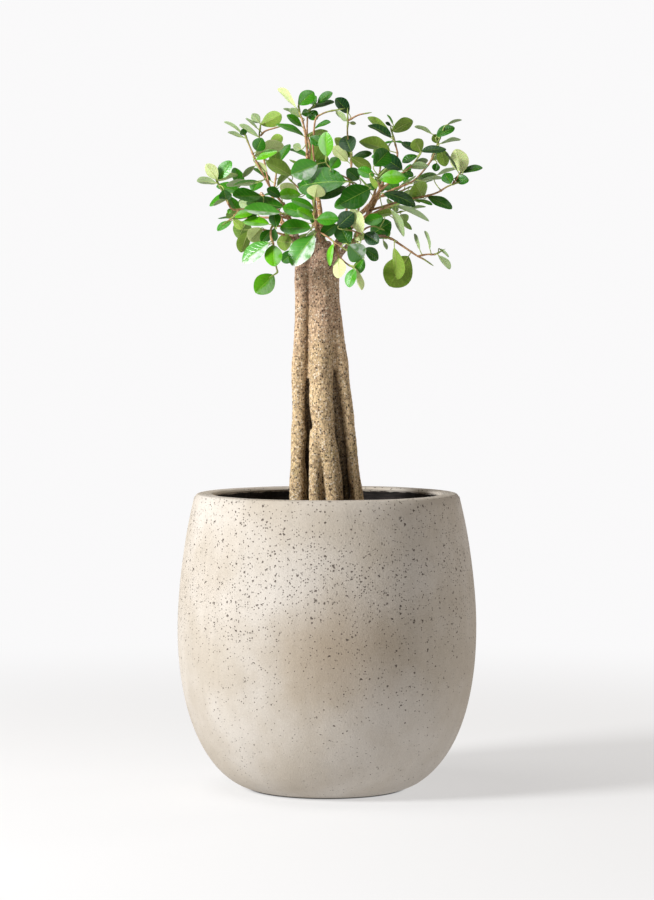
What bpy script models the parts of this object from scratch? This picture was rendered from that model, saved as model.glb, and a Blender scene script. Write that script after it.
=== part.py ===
"""A potted Chinese banyan: a small fig tree of several grown-together stems in a round planter.

The frame: +Z up, the origin at the centre of the planter's foot, +X to the viewer's right and +Y
away from the viewer. Sizes are in metres, and the tables of the tree's growth are in millimetres.
"""

import math
import random

import bmesh
import bpy
from mathutils import Vector
from mathutils.bvhtree import BVHTree
from mathutils.kdtree import KDTree

MM = 0.001
SEAT_GAP = 0.3 * MM
SHORTEST_EDGE = 0.01 * MM

# The planter.
POT_HEIGHT = 0.317
POT_RADIUS = 0.160
BELLY_HEIGHT = 0.168
RIM_RADIUS = 0.141
FOOT_RADIUS = 0.079
BOWL_INSET = 0.007
BOWL_CURVE = 2.15
WALL = 0.020
RIM_ROUND = 0.004
FLOOR_THICKNESS = 0.022
FLOOR_ROUND = 0.004
DRAIN_RADIUS = 0.012
POT_SIDES = 32
OUTSIDE_STEPS = 9
INSIDE_STEPS = 5

# The potting mix.
SOIL_TOP = 0.262
SOIL_MOUND = 0.005

# The viewer, at whose distance the seen positions in the tables hold.
EYE_DISTANCE = 3400
EYE_HEIGHT = 520

# The twigs and the blades of the leaves.
ROUTE_STEP = 2 * MM
TWIG_TOLERANCE = 0.6 * MM
TWIG_RADII = (1.9 * MM, 1.15 * MM)
SIDE_TWIG_RADII = (1.4 * MM, 1.1 * MM)
ROOT_LENGTH = 8 * MM
SHORTEST_STALK = 4 * MM
STALK_BEND_COST = 7 * MM
STALK_HALF = 0.5 * MM
BLADE_LEAN = 1.12
BLADE_FULLNESS = 0.6
SHORT_STALK = 7 * MM
BLADE_THICKNESS = 0.8 * MM
BLADE_STATIONS = (0.0, 0.3, 0.7, 1.0)
TEST_STATIONS = (0.0, 0.15, 0.4, 0.7, 0.9, 1.0)
CLEARANCE = 0.5 * MM
THICKEST_WOOD = 14 * MM

COLOURS = {
    "stone": (0.55, 0.48, 0.40),
    "soil": (0.045, 0.032, 0.022),
    "bark": (0.30, 0.22, 0.15),
    "leaf": (0.08, 0.22, 0.04),
}
ROUGHNESS = {"stone": 0.85, "soil": 0.95, "bark": 0.85, "leaf": 0.4}

# Each stem of the trunk from its foot up: x, y, z and radius.
STEMS = {
    "left": ((-37, 3, 224, 10), (-34, 3, 262, 10), (-31, 1, 310, 9.8), (-31, 0, 350, 8.6),
             (-30, 1, 385, 8.0), (-30, 0, 420, 7.4), (-29, 0, 450, 9.2), (-27, 0, 500, 7.8),
             (-27, 0, 550, 7.6), (-28, -1, 584, 6.6)),
    "main": ((11, -9, 224, 13), (9, -8, 262, 12.4), (6.5, -8, 310, 11.6), (3, -8, 350, 11),
             (-3, -7, 385, 12), (-6, -6, 420, 13), (-6, -5, 470, 13), (-5, -3, 520, 13),
             (-4, -2, 560, 12), (-4, -1, 586, 8.4)),
    "front": ((-15, -18, 224, 7.5), (-13, -16, 262, 7.2), (-12, -15, 310, 7), (-13, -13, 345, 6.6),
              (-11, -8, 385, 7)),
    "right": ((39, 3, 224, 8), (36, 4, 262, 7.2), (32.5, 3, 310, 6.7), (27.5, 2, 350, 6.6),
              (22, 1, 400, 6.6), (17, 0, 440, 7.4), (11, 0, 480, 8.6), (5, 0, 520, 8.8),
              (4, 0, 556, 9)),
    "back": ((22, 26, 224, 12), (20, 23, 262, 12), (17, 18, 330, 11.5), (9, 13, 400, 11),
             (0, 9, 470, 11.5), (-4, 6, 540, 11), (-5, 4, 578, 8)),
    "back_left": ((-18, 30, 224, 10), (-18, 27, 262, 9.5), (-19, 20, 320, 9), (-20, 11, 400, 9),
                  (-18, 7, 480, 9.5), (-17, 4, 550, 9), (-16, 5, 584, 7.5)),
}

# The limbs that the trunk carries, from the trunk out: x, y, z and radius.
LIMBS = {
    "left": ((-27, 0, 570, 6.2), (-33, -3, 592, 4), (-40, -8, 610, 3.3), (-47, -13, 627, 2.7)),
    "top": ((-6, 5, 568, 5.5), (-10, 9, 597, 3.3), (-15, 8, 638, 2.9), (-20, 6, 668, 2.6),
            (-21, 5, 684, 2.4)),
    "right": ((2, 3, 562, 6), (14, 6, 590, 3.6), (30, 7, 604, 3.2), (43, 8, 614, 3),
              (52, 9, 630, 2.7), (60, 10, 650, 2.5)),
    "right_low": ((4, -3, 560, 5.6), (24, -10, 582, 3.4), (44, -13, 591, 2.8), (63, -15, 591, 2.4)),
    "back": ((-4, 7, 562, 6), (-6, 28, 600, 4), (-8, 52, 622, 3.6), (-10, 70, 640, 2.6)),
    "back_right": ((4, 7, 562, 5.5), (22, 30, 602, 3.8), (42, 54, 622, 3.4), (58, 72, 638, 2.6)),
    "back_left": ((-24, 3, 566, 6), (-42, 26, 598, 4.2), (-58, 44, 620, 3.2), (-72, 58, 640, 2.4)),
}

# The leafy stems that show in front, read by eye against the specimen. x and z are as the viewer sees
# them at the trunk's own depth. A route runs from its limb to its tip as x, y, z, and side twigs
# follow it. A leaf is its base's x and z, its tip's x and z, how far behind its twig it stands, its
# seen width and its tone. Pale, olive and grey leaves show the underside.
SPRAYS = {
    "left_tip": (
        (((-40, -8, 610), (-54, -16, 613), (-70, -24, 617), (-88, -30, 620), (-101, -32, 620),
          (-107, -33, 630), (-112, -34, 640), (-118, -36, 651)),
         ((-94, -31, 619), (-101, -34, 611), (-108, -36, 606))),
        ((-117, 652, -129, 668, -2, 13, "pale"), (-116, 652, -102, 671, 2, 14, "mid"),
         (-118, 648, -139, 650, -2, 8, "grey"), (-116, 650, -95, 657, 6, 6, "pale"),
         (-110, 641, -108, 630, -6, 14, "dark"), (-108, 630, -121, 624, -5, 4, "grey"),
         (-103, 621, -105, 615, 0, 5, "bright"), (-100, 609, -90, 599, -4, 9, "olive"),
         (-99, 612, -79, 616, -6, 9, "bright"))),
    "left_upper": (
        (((-46, -12, 625), (-52, -14, 632), (-62, -16, 646), (-70, -17, 661), (-76, -17, 672),
          (-82, -16, 686), (-86, -15, 696), (-88, -15, 702)),),
        ((-88, 699, -90, 705, -3, 8, "dark"), (-90, 700, -110, 713, 5, 3, "grey"),
         (-88, 696, -106, 702, 7, 4, "grey"), (-75, 682, -69, 695, -10, 15, "dark"),
         (-77, 677, -46, 688, 8, 16, "pale"), (-76, 673, -53, 681, -6, 9, "bright"),
         (-77, 670, -64, 660, 2, 8, "pale"), (-76, 648, -107, 645, -5, 7, "grey"),
         (-74, 650, -100, 646, -12, 3, "dark"), (-77, 666, -90, 654, 6, 6, "grey"))),
    "left_mid": (
        (((-15, 8, 632), (-26, 2, 639), (-38, -1, 650)),),
        ((-28, 636, -52, 634, -8, 13, "bright"), (-30, 634, -50, 646, -4, 14, "pale"),
         (-38, 656, -65, 671, 2, 15, "olive"))),
    "left_top": (
        (((-46, 31, 604), (-60, 28, 640), (-67, 26, 672), (-72, 25, 695), (-71, 25, 708)),
         ((-71, 25, 698), (-66, 24, 703), (-57, 23, 706), (-50, 23, 708))),
        ((-70, 710, -48, 720, -2, 17, "olive"), (-72, 712, -80, 722, 6, 10, "grey"),
         (-73, 697, -94, 710, -6, 6, "grey"), (-74, 706, -87, 717, 2, 3, "grey"),
         (-61, 690, -47, 697, -12, 12, "olive"))),
    "left_front": (
        (((-38, -7, 605), (-46, -20, 614), (-58, -28, 621), (-70, -32, 626)),
         ((-50, -23, 617), (-56, -34, 610), (-58, -40, 604))),
        ((-70, 634, -100, 634, -2, 15, "dark"), (-50, 633, -64, 642, 4, 11, "dark"),
         (-47, 622, -86, 628, -10, 15, "dark"), (-50, 616, -88, 620, -16, 14, "gloss"),
         (-62, 604, -89, 608, -6, 11, "bright"), (-54, 601, -57, 617, -9, 13, "dark"),
         (-80, 622, -94, 628, 6, 11, "grey"), (-76, 616, -84, 607, -2, 10, "dark"))),
    "lower_left": (
        (((-34, -4, 595), (-46, -22, 601), (-58, -32, 602), (-60, -38, 592), (-57, -40, 582),
          (-56, -40, 570), (-54, -40, 558), (-53, -40, 553), (-57, -41, 550)),),
        ((-62, 584, -90, 564, -6, 18, "gloss"), (-58, 582, -56, 559, -10, 19, "bright"),
         (-61, 583, -68, 583, -4, 6, "bright"), (-57, 550, -76, 531, -1, 22, "bright"),
         (-60, 598, -70, 585, 7, 12, "dark"), (-56, 600, -56, 586, 6, 9, "dark"))),
    "left_low": (
        (((-32, -2, 588), (-42, -4, 591), (-50, -5, 594), (-68, -4, 598), (-84, -4, 598)),),
        ((-84, 596, -92, 574, -2, 14, "olive"), (-70, 600, -82, 586, -10, 18, "pale"),
         (-38, 585, -54, 586, -3, 19, "olive"), (-34, 576, -48, 564, -5, 13, "dark"))),
    "front": (
        (((-6, -4, 584), (-9, -18, 592), (-12, -32, 600), (-12, -38, 606), (-14, -42, 614),
          (-14, -46, 622), (-14, -50, 631)),
         ((-10, -26, 597), (0, -38, 591), (8, -44, 585), (20, -50, 577)),
         ((7, -43, 586), (12, -47, 572), (20, -50, 563), (28, -52, 558))),
        ((-14, 620, -38, 630, -6, 10, "mid"), (-15, 610, -32, 620, -4, 12, "bright"),
         (-11, 609, 12, 609, -9, 15, "mid"), (-13, 633, -10, 647, -8, 20, "pale"),
         (-15, 630, -22, 636, -4, 5, "mid"), (-14, 592, -37, 560, -16, 24, "gloss"),
         (-17, 600, -50, 600, -2, 17, "mid"), (-20, 615, -47, 622, 8, 16, "mid"),
         (7, 583, 3, 560, -4, 7, "bright"), (12, 568, 13, 547, -6, 14, "pale"),
         (23, 582, 38, 568, -8, 22, "gloss"), (28, 558, 37, 534, -2, 7, "pale"),
         (29, 557, 24, 537, 2, 12, "mid"), (39, 567, 31, 551, 6, 12, "mid"))),
    "centre": (
        (((30, 7, 604), (34, -8, 622), (36, -22, 638), (31, -30, 647), (22, -34, 650)),
         ((35, -20, 636), (24, -24, 651), (10, -24, 659), (0, -22, 668), (-1, -22, 673))),
        ((20, 649, -30, 645, -12, 30, "dark"), (46, 642, 14, 625, -12, 26, "dark"),
         (20, 644, -8, 631, 4, 14, "dark"), (30, 632, 8, 622, 9, 14, "mid"),
         (0, 676, -1, 702, -6, 16, "bright"), (4, 663, 12, 675, -4, 13, "mid"),
         (2, 657, -8, 672, 6, 13, "dark"), (-10, 668, -38, 657, -10, 23, "gloss"),
         (34, 652, 21, 662, 10, 15, "dark"))),
    "top_left": (
        (((-21, 5, 682), (-22, 5, 690), (-23, 5, 700), (-26, 4, 714), (-29, 4, 722), (-30, 4, 730)),),
        ((-30, 731, -14, 745, -3, 16, "mid"), (-33, 728, -53, 748, 1, 7, "pale"),
         (-27, 708, -43, 720, -1, 9, "mid"), (-29, 718, -40, 727, 5, 8, "grey"),
         (-27, 721, -19, 724, 7, 9, "mid"), (-25, 698, -55, 711, 4, 8, "mid"),
         (-22, 697, 1, 703, 2, 6, "olive"), (-28, 718, -47, 727, 9, 3, "grey"),
         (-28, 684, -36, 689, 3, 9, "grey"))),
    "top_mid": (
        (((-20, 6, 666), (-18, 13, 684), (-21, 17, 700), (-21, 17, 712), (-20, 17, 722),
          (-14, 17, 731)),),
        ((-13, 731, -18, 741, 1, 12, "mid"), (-10, 733, 6, 744, -1, 10, "dark"),
         (-18, 727, 8, 733, -5, 7, "dark"), (-19, 724, -10, 715, -3, 12, "dark"))),
    "top_right": (
        (((-16, 8, 644), (-13, -2, 664), (-15, -6, 684), (-14, -7, 702), (-12, -7, 716), (-6, -7, 721),
          (2, -7, 724), (13, -7, 726)),),
        ((10, 724, 21, 714, 0, 6, "grey"), (-18, 697, -6, 689, -6, 11, "dark"),
         (-13, 706, 4, 712, -4, 6, "dark"))),
    "centre_top": (
        (((16, 5.5, 592), (21, 14, 620), (24, 14, 645), (26, 12, 668), (26, 11, 680), (22, 10, 698),
          (22, 10, 712), (22, 10, 722)),
         ((22, 10, 714), (33, 10, 720), (42, 10, 722))),
        ((23, 722, 9, 738, 4, 14, "blue"), (21, 714, 9, 723, 8, 4, "grey"),
         (24, 712, 31, 711, 4, 4, "grey"), (26, 681, 19, 699, -6, 19, "blue"),
         (25, 675, 8, 696, 0, 12, "olive"), (22, 671, 6, 687, 6, 13, "pale"),
         (27, 675, 48, 679, 4, 9, "dark"),
         (26, 675, 47, 662, -2, 12, "olive"))),
    "right_up": (
        (((58, 10, 646), (67, 13, 661), (75, 15, 676), (72, 16, 692), (69, 16, 703)),),
        ((70, 703, 92, 714, -2, 14, "olive"), (68, 698, 43, 718, 4, 8, "olive"),
         (68, 696, 44, 710, -2, 10, "blue"), (70, 711, 64, 721, 0, 3, "bright"),
         (70, 692, 61, 690, -2, 3, "mid"), (72, 692, 81, 690, -2, 3, "mid"),
         (67, 682, 34, 692, -4, 13, "olive"), (68, 709, 62, 712, 8, 4, "blue"))),
    "right_front": (
        (((42, 8, 613), (46, -12, 626), (56, -26, 642), (54, -30, 652), (60, -34, 660)),),
        ((50, 666, 66, 683, 6, 20, "dark"), (56, 652, 83, 654, -8, 15, "bright"),
         (50, 655, 33, 663, -3, 12, "mid"), (46, 656, 52, 642, -4, 6, "olive"))),
    "right_cluster": (
        (((55, 9, 638), (66, 2, 648), (80, -2, 658), (92, -4, 668), (98, -4, 677)),),
        ((80, 662, 57, 677, -14, 18, "blue"), (99, 680, 80, 692, 2, 10, "blue"),
         (100, 681, 93, 694, -6, 15, "olive"), (101, 681, 127, 685, -4, 10, "blue"),
         (96, 677, 80, 670, 4, 9, "dark"), (92, 668, 108, 672, 6, 8, "grey"),
         (88, 664, 108, 666, 2, 8, "grey"), (80, 659, 92, 655, -3, 8, "dark"))),
    "right_high": (
        (((40, 52, 620), (64, 44, 638), (90, 36, 649), (102, 33, 660), (112, 31, 674), (118, 30, 690),
          (123, 29, 702)),),
        ((117, 697, 136, 708, -2, 12, "dark"), (119, 690, 113, 699, 2, 9, "olive"),
         (112, 700, 93, 708, 4, 4, "grey"), (121, 690, 143, 694, -2, 3, "grey"),
         (128, 710, 144, 715, 2, 3, "grey"), (121, 684, 127, 666, -4, 14, "olive"),
         (112, 672, 118, 680, 4, 9, "grey"), (117, 669, 115, 660, -6, 9, "dark"),
         (92, 648, 118, 656, -8, 9, "grey"), (100, 651, 124, 653, -2, 4, "grey"))),
    "right_far": (
        (((46, 8, 619), (60, 4, 623), (80, -1, 629), (105, -5, 634), (118, -6, 638), (128, -6, 644),
          (138, -6, 648), (146, -6, 650)),
         ((134, -6, 647), (140, -4, 655), (143, -4, 661))),
        ((103, 632, 93, 646, -5, 22, "olive"), (107, 634, 133, 620, -4, 12, "dark"),
         (132, 647, 126, 659, -2, 13, "dark"), (136, 653, 151, 650, 0, 11, "dark"),
         (145, 660, 138, 685, 1, 20, "pale"), (143, 659, 166, 664, -3, 8, "dark"),
         (139, 661, 126, 680, 3, 4, "blue"), (118, 657, 141, 664, 10, 3, "grey"),
         (94, 630, 112, 624, -2, 5, "bright"))),
    "right_mid": (
        (((36, 7, 609), (46, -8, 614), (58, -16, 620), (75, -20, 625)),),
        ((50, 613, 70, 617, 0, 9, "olive"), (60, 637, 94, 623, -9, 14, "blue"),
         (72, 624, 109, 607, 4, 5, "grey"),
         (68, 619, 82, 591, -5, 8, "grey"))),
    "right_droop": (
        (((61, -15, 591), (70, -17, 588), (76, -19, 584), (88, -20, 576), (97, -21, 570),
          (103, -21, 567), (109, -21, 563)),
         ((96, -21, 570), (107, -19, 572), (115, -18, 572), (121, -17, 575))),
        ((87, 570, 66, 538, -5, 32, "olive"), (72, 579, 75, 546, -13, 12, "olive"),
         (99, 577, 93, 594, 2, 4, "grey"), (110, 577, 104, 597, 0, 3, "grey"),
         (119, 571, 131, 556, -3, 7, "grey"), (120, 578, 130, 569, 1, 3, "grey"),
         (60, 587, 64, 577, -2, 4, "grey"))),
    "right_under": (
        (((24, -10, 582), (32, -22, 592), (42, -28, 600), (50, -30, 602), (56, -30, 600)),
         ((34, -24, 594), (28, -32, 597), (22, -34, 598))),
        ((60, 612, 40, 606, -4, 13, "mid"), (47, 593, 68, 606, 5, 22, "dark"),
         (40, 594, 55, 584, -6, 15, "blue"), (40, 578, 55, 567, 2, 13, "dark"),
         (38, 595, 25, 620, -10, 15, "pale"), (36, 586, 32, 598, -6, 12, "pale"),
         (12, 602, 28, 616, 4, 18, "blue"), (10, 604, -6, 592, 10, 14, "dark"),
         (24, 582, 12, 606, -8, 20, "dark"))),
}
UNDERSIDE_TONES = ("pale", "olive", "grey")

# The leafy stems behind, which no view of the specimen shows: limb, share of the way along it, compass
# direction of the tip in degrees from +X towards +Y, its rise in degrees, its length and its leaves.
BACK_SPRAYS = {
    "back_low_left": ("back_left", 0.62, 160, 0, 50, 6),
    "back_left": ("back_left", 0.97, 124, 6, 54, 7),
    "back_left_upper": ("back_left", 0.80, 78, 50, 56, 7),
    "back_low": ("back", 0.60, 100, -12, 60, 6),
    "back_mid": ("back", 0.95, 84, 26, 54, 8),
    "back_upper": ("back", 0.78, 110, 62, 60, 8),
    "back_right": ("back_right", 0.97, 50, 12, 54, 8),
    "back_right_upper": ("back_right", 0.80, 62, 58, 60, 8),
    "back_low_right": ("back_right", 0.55, 30, 8, 58, 7),
}
BACK_LEAF_ANGLE = 56
BACK_LEAF_SPACING = 7.5
SPIRAL_STEP = 137.5
CROWN_SEED = 11
DEPTH_SHIFTS = (0, -3, 3, -6, 6, -9, 9, -12, 12, -16, 16, -20, 20, -25, 25)
EXTRA_ROLLS = (0, 14, -14, 28)


def empty_the_scene():
    """Removes what the startup file holds."""
    for found in list(bpy.data.objects):
        bpy.data.objects.remove(found)


def new_collection(name, shown=True):
    """A collection of the scene, left out of renders when it only holds cutters."""
    made = bpy.data.collections.new(name)
    made.hide_render = not shown
    bpy.context.scene.collection.children.link(made)
    return made


def clear_out(group):
    """Removes a collection and its objects."""
    for item in list(group.objects):
        bpy.data.objects.remove(item)
    bpy.data.collections.remove(group)


def finish_of(name, kind):
    """The plain material of one piece."""
    made = bpy.data.materials.new(name)
    made.use_nodes = True
    shader = made.node_tree.nodes["Principled BSDF"]
    shader.inputs["Base Color"].default_value = (*COLOURS[kind], 1)
    shader.inputs["Roughness"].default_value = ROUGHNESS[kind]
    shader.inputs["Metallic"].default_value = 0
    return made


def new_object(name, mesh, group):
    """An object of that mesh in a collection."""
    made = bpy.data.objects.new(name, mesh)
    group.objects.link(made)
    return made


def evaluated_mesh(item):
    """A new mesh of the object with its modifiers applied."""
    bpy.context.view_layer.update()
    graph = bpy.context.evaluated_depsgraph_get()
    return bpy.data.meshes.new_from_object(item.evaluated_get(graph))


def apply_modifiers(item):
    """Replaces the object's mesh by its evaluated one."""
    mesh = evaluated_mesh(item)
    item.modifiers.clear()
    item.data = mesh
    return item


def change_mesh(mesh, change):
    """Runs a change on the mesh as an editable grid."""
    grid = bmesh.new()
    grid.from_mesh(mesh)
    change(grid)
    grid.to_mesh(mesh)
    grid.free()


def weld(grid):
    """Merges the doubles of a grid."""
    bmesh.ops.remove_doubles(grid, verts=grid.verts, dist=0.001 * MM)


def tidy(item):
    """Splits the mesh into triangles, without a Boolean's needle faces where that keeps it closed."""
    for shortest in (SHORTEST_EDGE, SHORTEST_EDGE / 5, 0):
        for method in ("BEAUTY", "EAR_CLIP"):
            trial = item.data.copy()

            def split(grid):
                if shortest:
                    bmesh.ops.dissolve_degenerate(grid, dist=shortest, edges=grid.edges)
                bmesh.ops.triangulate(grid, faces=grid.faces, ngon_method=method)
            change_mesh(trial, split)
            if open_edges(trial) == 0:
                item.data = trial
                return
    print("no closed split of", item.name)


def open_edges(mesh):
    """The number of the mesh's edges that don't join just two faces."""
    grid = bmesh.new()
    grid.from_mesh(mesh)
    found = sum(not edge.is_manifold for edge in grid.edges)
    grid.free()
    return found


def boolean(item, operation, other):
    """Joins or cuts the object with an object or with all of a collection, and keeps it closed."""
    for solver in ("EXACT", "MANIFOLD"):
        step = item.modifiers.new(operation.title(), "BOOLEAN")
        step.operation = operation
        step.solver = solver
        if isinstance(other, bpy.types.Collection):
            step.operand_type = "COLLECTION"
            step.collection = other
        else:
            step.object = other
        mesh = evaluated_mesh(item)
        item.modifiers.remove(step)
        if open_edges(mesh) == 0:
            item.data = mesh
            return item
    print("no closed", operation, "for", item.name)
    item.data = mesh
    return item


def finish(item, kind, sharp_angle):
    """Tidies the piece, and gives it its material and smooth shading that keeps the sharp edges."""
    tidy(item)
    item.data.materials.clear()
    item.data.materials.append(finish_of(item.name, kind))
    item.data.shade_smooth()
    item.data.set_sharp_from_angle(angle=math.radians(sharp_angle))


def bodies_of(grid):
    """The separate bodies of a mesh, each as a set of its faces, the biggest by volume first."""
    left = set(grid.faces)
    found = []
    while left:
        body = set()
        waiting = [left.pop()]
        while waiting:
            face = waiting.pop()
            body.add(face)
            for edge in face.edges:
                for other in edge.link_faces:
                    if other in left:
                        left.remove(other)
                        waiting.append(other)
        found.append(body)
    return sorted(found, key=lambda body: -sum(
        face.calc_center_median().dot(face.normal) * face.calc_area() for face in body))


def drop_scraps(grid):
    """Keeps the biggest body of a grid, and drops the loose scraps that cutting its root left."""
    for scrap in bodies_of(grid)[1:]:
        print("scrap of", len(scrap), "faces")
        bmesh.ops.delete(grid, geom=list(scrap), context="FACES")


def revolve(name, profile, group, closed):
    """A turned piece from a profile of (radius, height) points at +X."""
    mesh = bpy.data.meshes.new(name)
    points = [(radius, 0, height) for radius, height in profile]
    edges = [(i, i + 1) for i in range(len(points) - 1)]
    if closed:
        edges.append((len(points) - 1, 0))
    mesh.from_pydata(points, edges, [])
    item = new_object(name, mesh, group)
    turn = item.modifiers.new("Turn", "SCREW")
    turn.steps = turn.render_steps = POT_SIDES
    turn.use_merge_vertices = True
    turn.merge_threshold = 0.0001
    apply_modifiers(item)
    change_mesh(item.data, weld)
    return item


def outside_radius(height):
    """The planter's outer radius: a bowl below the belly, and a parabola above it."""
    if height >= BELLY_HEIGHT:
        share = (height - BELLY_HEIGHT) / (POT_HEIGHT - BELLY_HEIGHT)
        return POT_RADIUS - (POT_RADIUS - RIM_RADIUS) * share**2
    share = (BELLY_HEIGHT - height) / BELLY_HEIGHT
    low = FOOT_RADIUS - BOWL_INSET
    return low + (POT_RADIUS - low) * max(0.0, 1 - share**BOWL_CURVE) ** 0.5


def wall_heights(low, steps):
    """Heights from the rim down, closer together near the foot, where the wall turns most."""
    high = POT_HEIGHT - RIM_ROUND
    return [low + (high - low) * (1 - i / steps) ** 1.5 for i in range(steps + 1)]


def inside_wall():
    """The points of the planter's inner wall, from the rim down to the floor."""
    low = FLOOR_THICKNESS + FLOOR_ROUND
    wall = [(outside_radius(z) - WALL, z) for z in wall_heights(low, INSIDE_STEPS)]
    return wall + [(wall[-1][0] - 1.5 * FLOOR_ROUND, FLOOR_THICKNESS)]


def pot_profile():
    """The planter's section: down the outside, across the foot, up the drain and up the inside."""
    outside = [(outside_radius(z), z) for z in wall_heights(RIM_ROUND / 2, OUTSIDE_STEPS)]
    foot = [(FOOT_RADIUS, 0), (DRAIN_RADIUS, 0), (DRAIN_RADIUS, FLOOR_THICKNESS)]
    rim = [(RIM_RADIUS - WALL + RIM_ROUND, POT_HEIGHT), (RIM_RADIUS - RIM_ROUND, POT_HEIGHT)]
    return outside + foot + inside_wall()[::-1] + rim


def build_pot(group):
    """The thick-walled planter with its drain hole."""
    pot = revolve("planter", pot_profile(), group, closed=True)
    finish(pot, "stone", 40)
    return pot


def build_soil(group, cutter):
    """The potting mix: it fills the planter to below the rim, with plain holes for the stems."""
    wall = inside_wall()
    upper, lower = [(a, b) for a, b in zip(wall, wall[1:]) if a[1] >= SOIL_TOP > b[1]][0]
    share = (upper[1] - SOIL_TOP) / (upper[1] - lower[1])
    edge = (upper[0] + (lower[0] - upper[0]) * share, SOIL_TOP)
    side = [edge] + [point for point in wall[:-1] if point[1] < SOIL_TOP]
    profile = [(0, SOIL_TOP + SOIL_MOUND), (0.06, SOIL_TOP + SOIL_MOUND * 0.6)]
    profile += [(radius - SEAT_GAP, height) for radius, height in side]
    profile += [(wall[-1][0] - 2 * SEAT_GAP, FLOOR_THICKNESS + SEAT_GAP),
                (0, FLOOR_THICKNESS + SEAT_GAP)]
    soil = revolve("potting_mix", profile, group, closed=False)
    boolean(soil, "DIFFERENCE", cutter)
    finish(soil, "soil", 40)
    return soil


def smooth_route(points, step=ROUTE_STEP):
    """Points every step or so along a smooth curve through the given points, radii too."""
    ends = [tuple(2 * a - b for a, b in zip(points[0], points[1])), *points,
            tuple(2 * a - b for a, b in zip(points[-1], points[-2]))]
    found = []
    for i in range(1, len(ends) - 2):
        corners = ends[i - 1:i + 3]
        pieces = max(1, round(math.dist(corners[1][:3], corners[2][:3]) * MM / step))
        for k in range(pieces):
            t = k / pieces
            found.append(tuple(
                0.5 * (2 * b + (c - a) * t + (2 * a - 5 * b + 4 * c - d) * t * t
                       + (3 * b - a - 3 * c + d) * t**3)
                for a, b, c, d in zip(*corners)))
    found.append(tuple(points[-1]))
    return found


def thin_line(line, tolerance):
    """The numbers of the points that keep a line of points true to the tolerance."""
    start, end = line[0], line[-1]
    span = end - start
    gaps = [(point - start - span * max(0, min(1, (point - start).dot(span) / span.length_squared)))
            .length for point in line]
    worst = max(range(len(line)), key=gaps.__getitem__)
    if gaps[worst] < tolerance or worst in (0, len(line) - 1):
        return [0, len(line) - 1]
    before = thin_line(line[:worst + 1], tolerance)
    return before[:-1] + [worst + number for number in thin_line(line[worst:], tolerance)]


def in_space(x, y, z):
    """The place in metres of what the viewer sees at x and z, and which lies at depth y."""
    nearer = 1 + y / EYE_DISTANCE
    return Vector((x * nearer, y, EYE_HEIGHT + (z - EYE_HEIGHT) * nearer)) * MM


def tube(name, points, radii, group, resolution=0):
    """A closed tube along points in metres, as a mesh object."""
    curve = bpy.data.curves.new(name, "CURVE")
    curve.dimensions = "3D"
    curve.bevel_depth = 1.0
    curve.bevel_resolution = resolution
    curve.use_fill_caps = True
    line = curve.splines.new("POLY")
    line.points.add(len(points) - 1)
    for place, point, radius in zip(line.points, points, radii):
        place.co = (*point, 1)
        place.radius = radius
    guide = bpy.data.objects.new(name, curve)
    group.objects.link(guide)
    mesh = evaluated_mesh(guide)
    change_mesh(mesh, weld)
    bpy.data.objects.remove(guide)
    return new_object(name, mesh, group)


def grown_tube(name, route, step, group, resolution):
    """A tube along a route whose points carry a radius, in millimetres."""
    points = smooth_route(route, step)
    return tube(name, [Vector(p[:3]) * MM for p in points], [p[3] * MM for p in points], group,
                resolution)


def join(name, items, group):
    """One object of the meshes of several, which still overlap inside it."""
    whole = bmesh.new()
    for item in items:
        whole.from_mesh(item.data)
    mesh = bpy.data.meshes.new(name)
    whole.to_mesh(mesh)
    whole.free()
    for item in items:
        bpy.data.objects.remove(item)
    return new_object(name, mesh, group)


def build_trunk(group, helpers):
    """The stems grown together into one trunk, with its limbs: one closed solid."""
    stems = [grown_tube(f"stem_{name}", route, 9 * MM, helpers, 2) for name, route in STEMS.items()]
    trunk = join("trunk", stems, group)
    merge = trunk.modifiers.new("Grow together", "REMESH")
    merge.mode = "VOXEL"
    merge.voxel_size = 2.2 * MM
    soften = trunk.modifiers.new("Soften", "SMOOTH")
    soften.factor = 0.5
    soften.iterations = 4
    thin_out = trunk.modifiers.new("Thin out", "DECIMATE")
    thin_out.ratio = 0.027
    apply_modifiers(trunk)
    limbs = new_collection("limbs", shown=False)
    for name, route in LIMBS.items():
        grown_tube(f"limb_{name}", route, 14 * MM, limbs, 1)
    boolean(trunk, "UNION", limbs)
    clear_out(limbs)
    finish(trunk, "bark", 60)
    return trunk


def swollen(item, by, helpers):
    """A copy that stands out from the object on every side, as a cutter."""
    copy = new_object(f"{item.name}_seat", item.data.copy(), helpers)
    grow = copy.modifiers.new("Swell", "DISPLACE")
    grow.strength = by
    grow.mid_level = 0
    copy.display_type = "WIRE"
    copy.hide_render = True
    return apply_modifiers(copy)


def half_width(along):
    """The blade's half width at a share of its length, as a share of its greatest half width."""
    return math.sin(math.pi * along**BLADE_LEAN) ** BLADE_FULLNESS if 0 < along < 1 else 0.0


def draw_chances(draw):
    """The small differences of one leaf. Every leaf takes the same number of draws."""
    return {
        "share": draw.uniform(0.62, 0.78), "arch": draw.uniform(0.02, 0.09),
        "fold": draw.uniform(0.02, 0.22), "wave": draw.uniform(-0.02, 0.02),
        "phase": draw.uniform(0, 2 * math.pi), "lean": draw.uniform(-24, 24),
    }


def leaf_of(owner, attach, base, direction, normal, size, chance, tone):
    """All that sets one leaf: where its stalk joins, the frame of its blade, its size and bend."""
    return {"owner": owner, "attach": attach, "base": base, "direction": direction,
            "normal": normal, "side": direction.cross(normal), "length": size[0],
            "width": size[1], "tone": tone, **chance}


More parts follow.
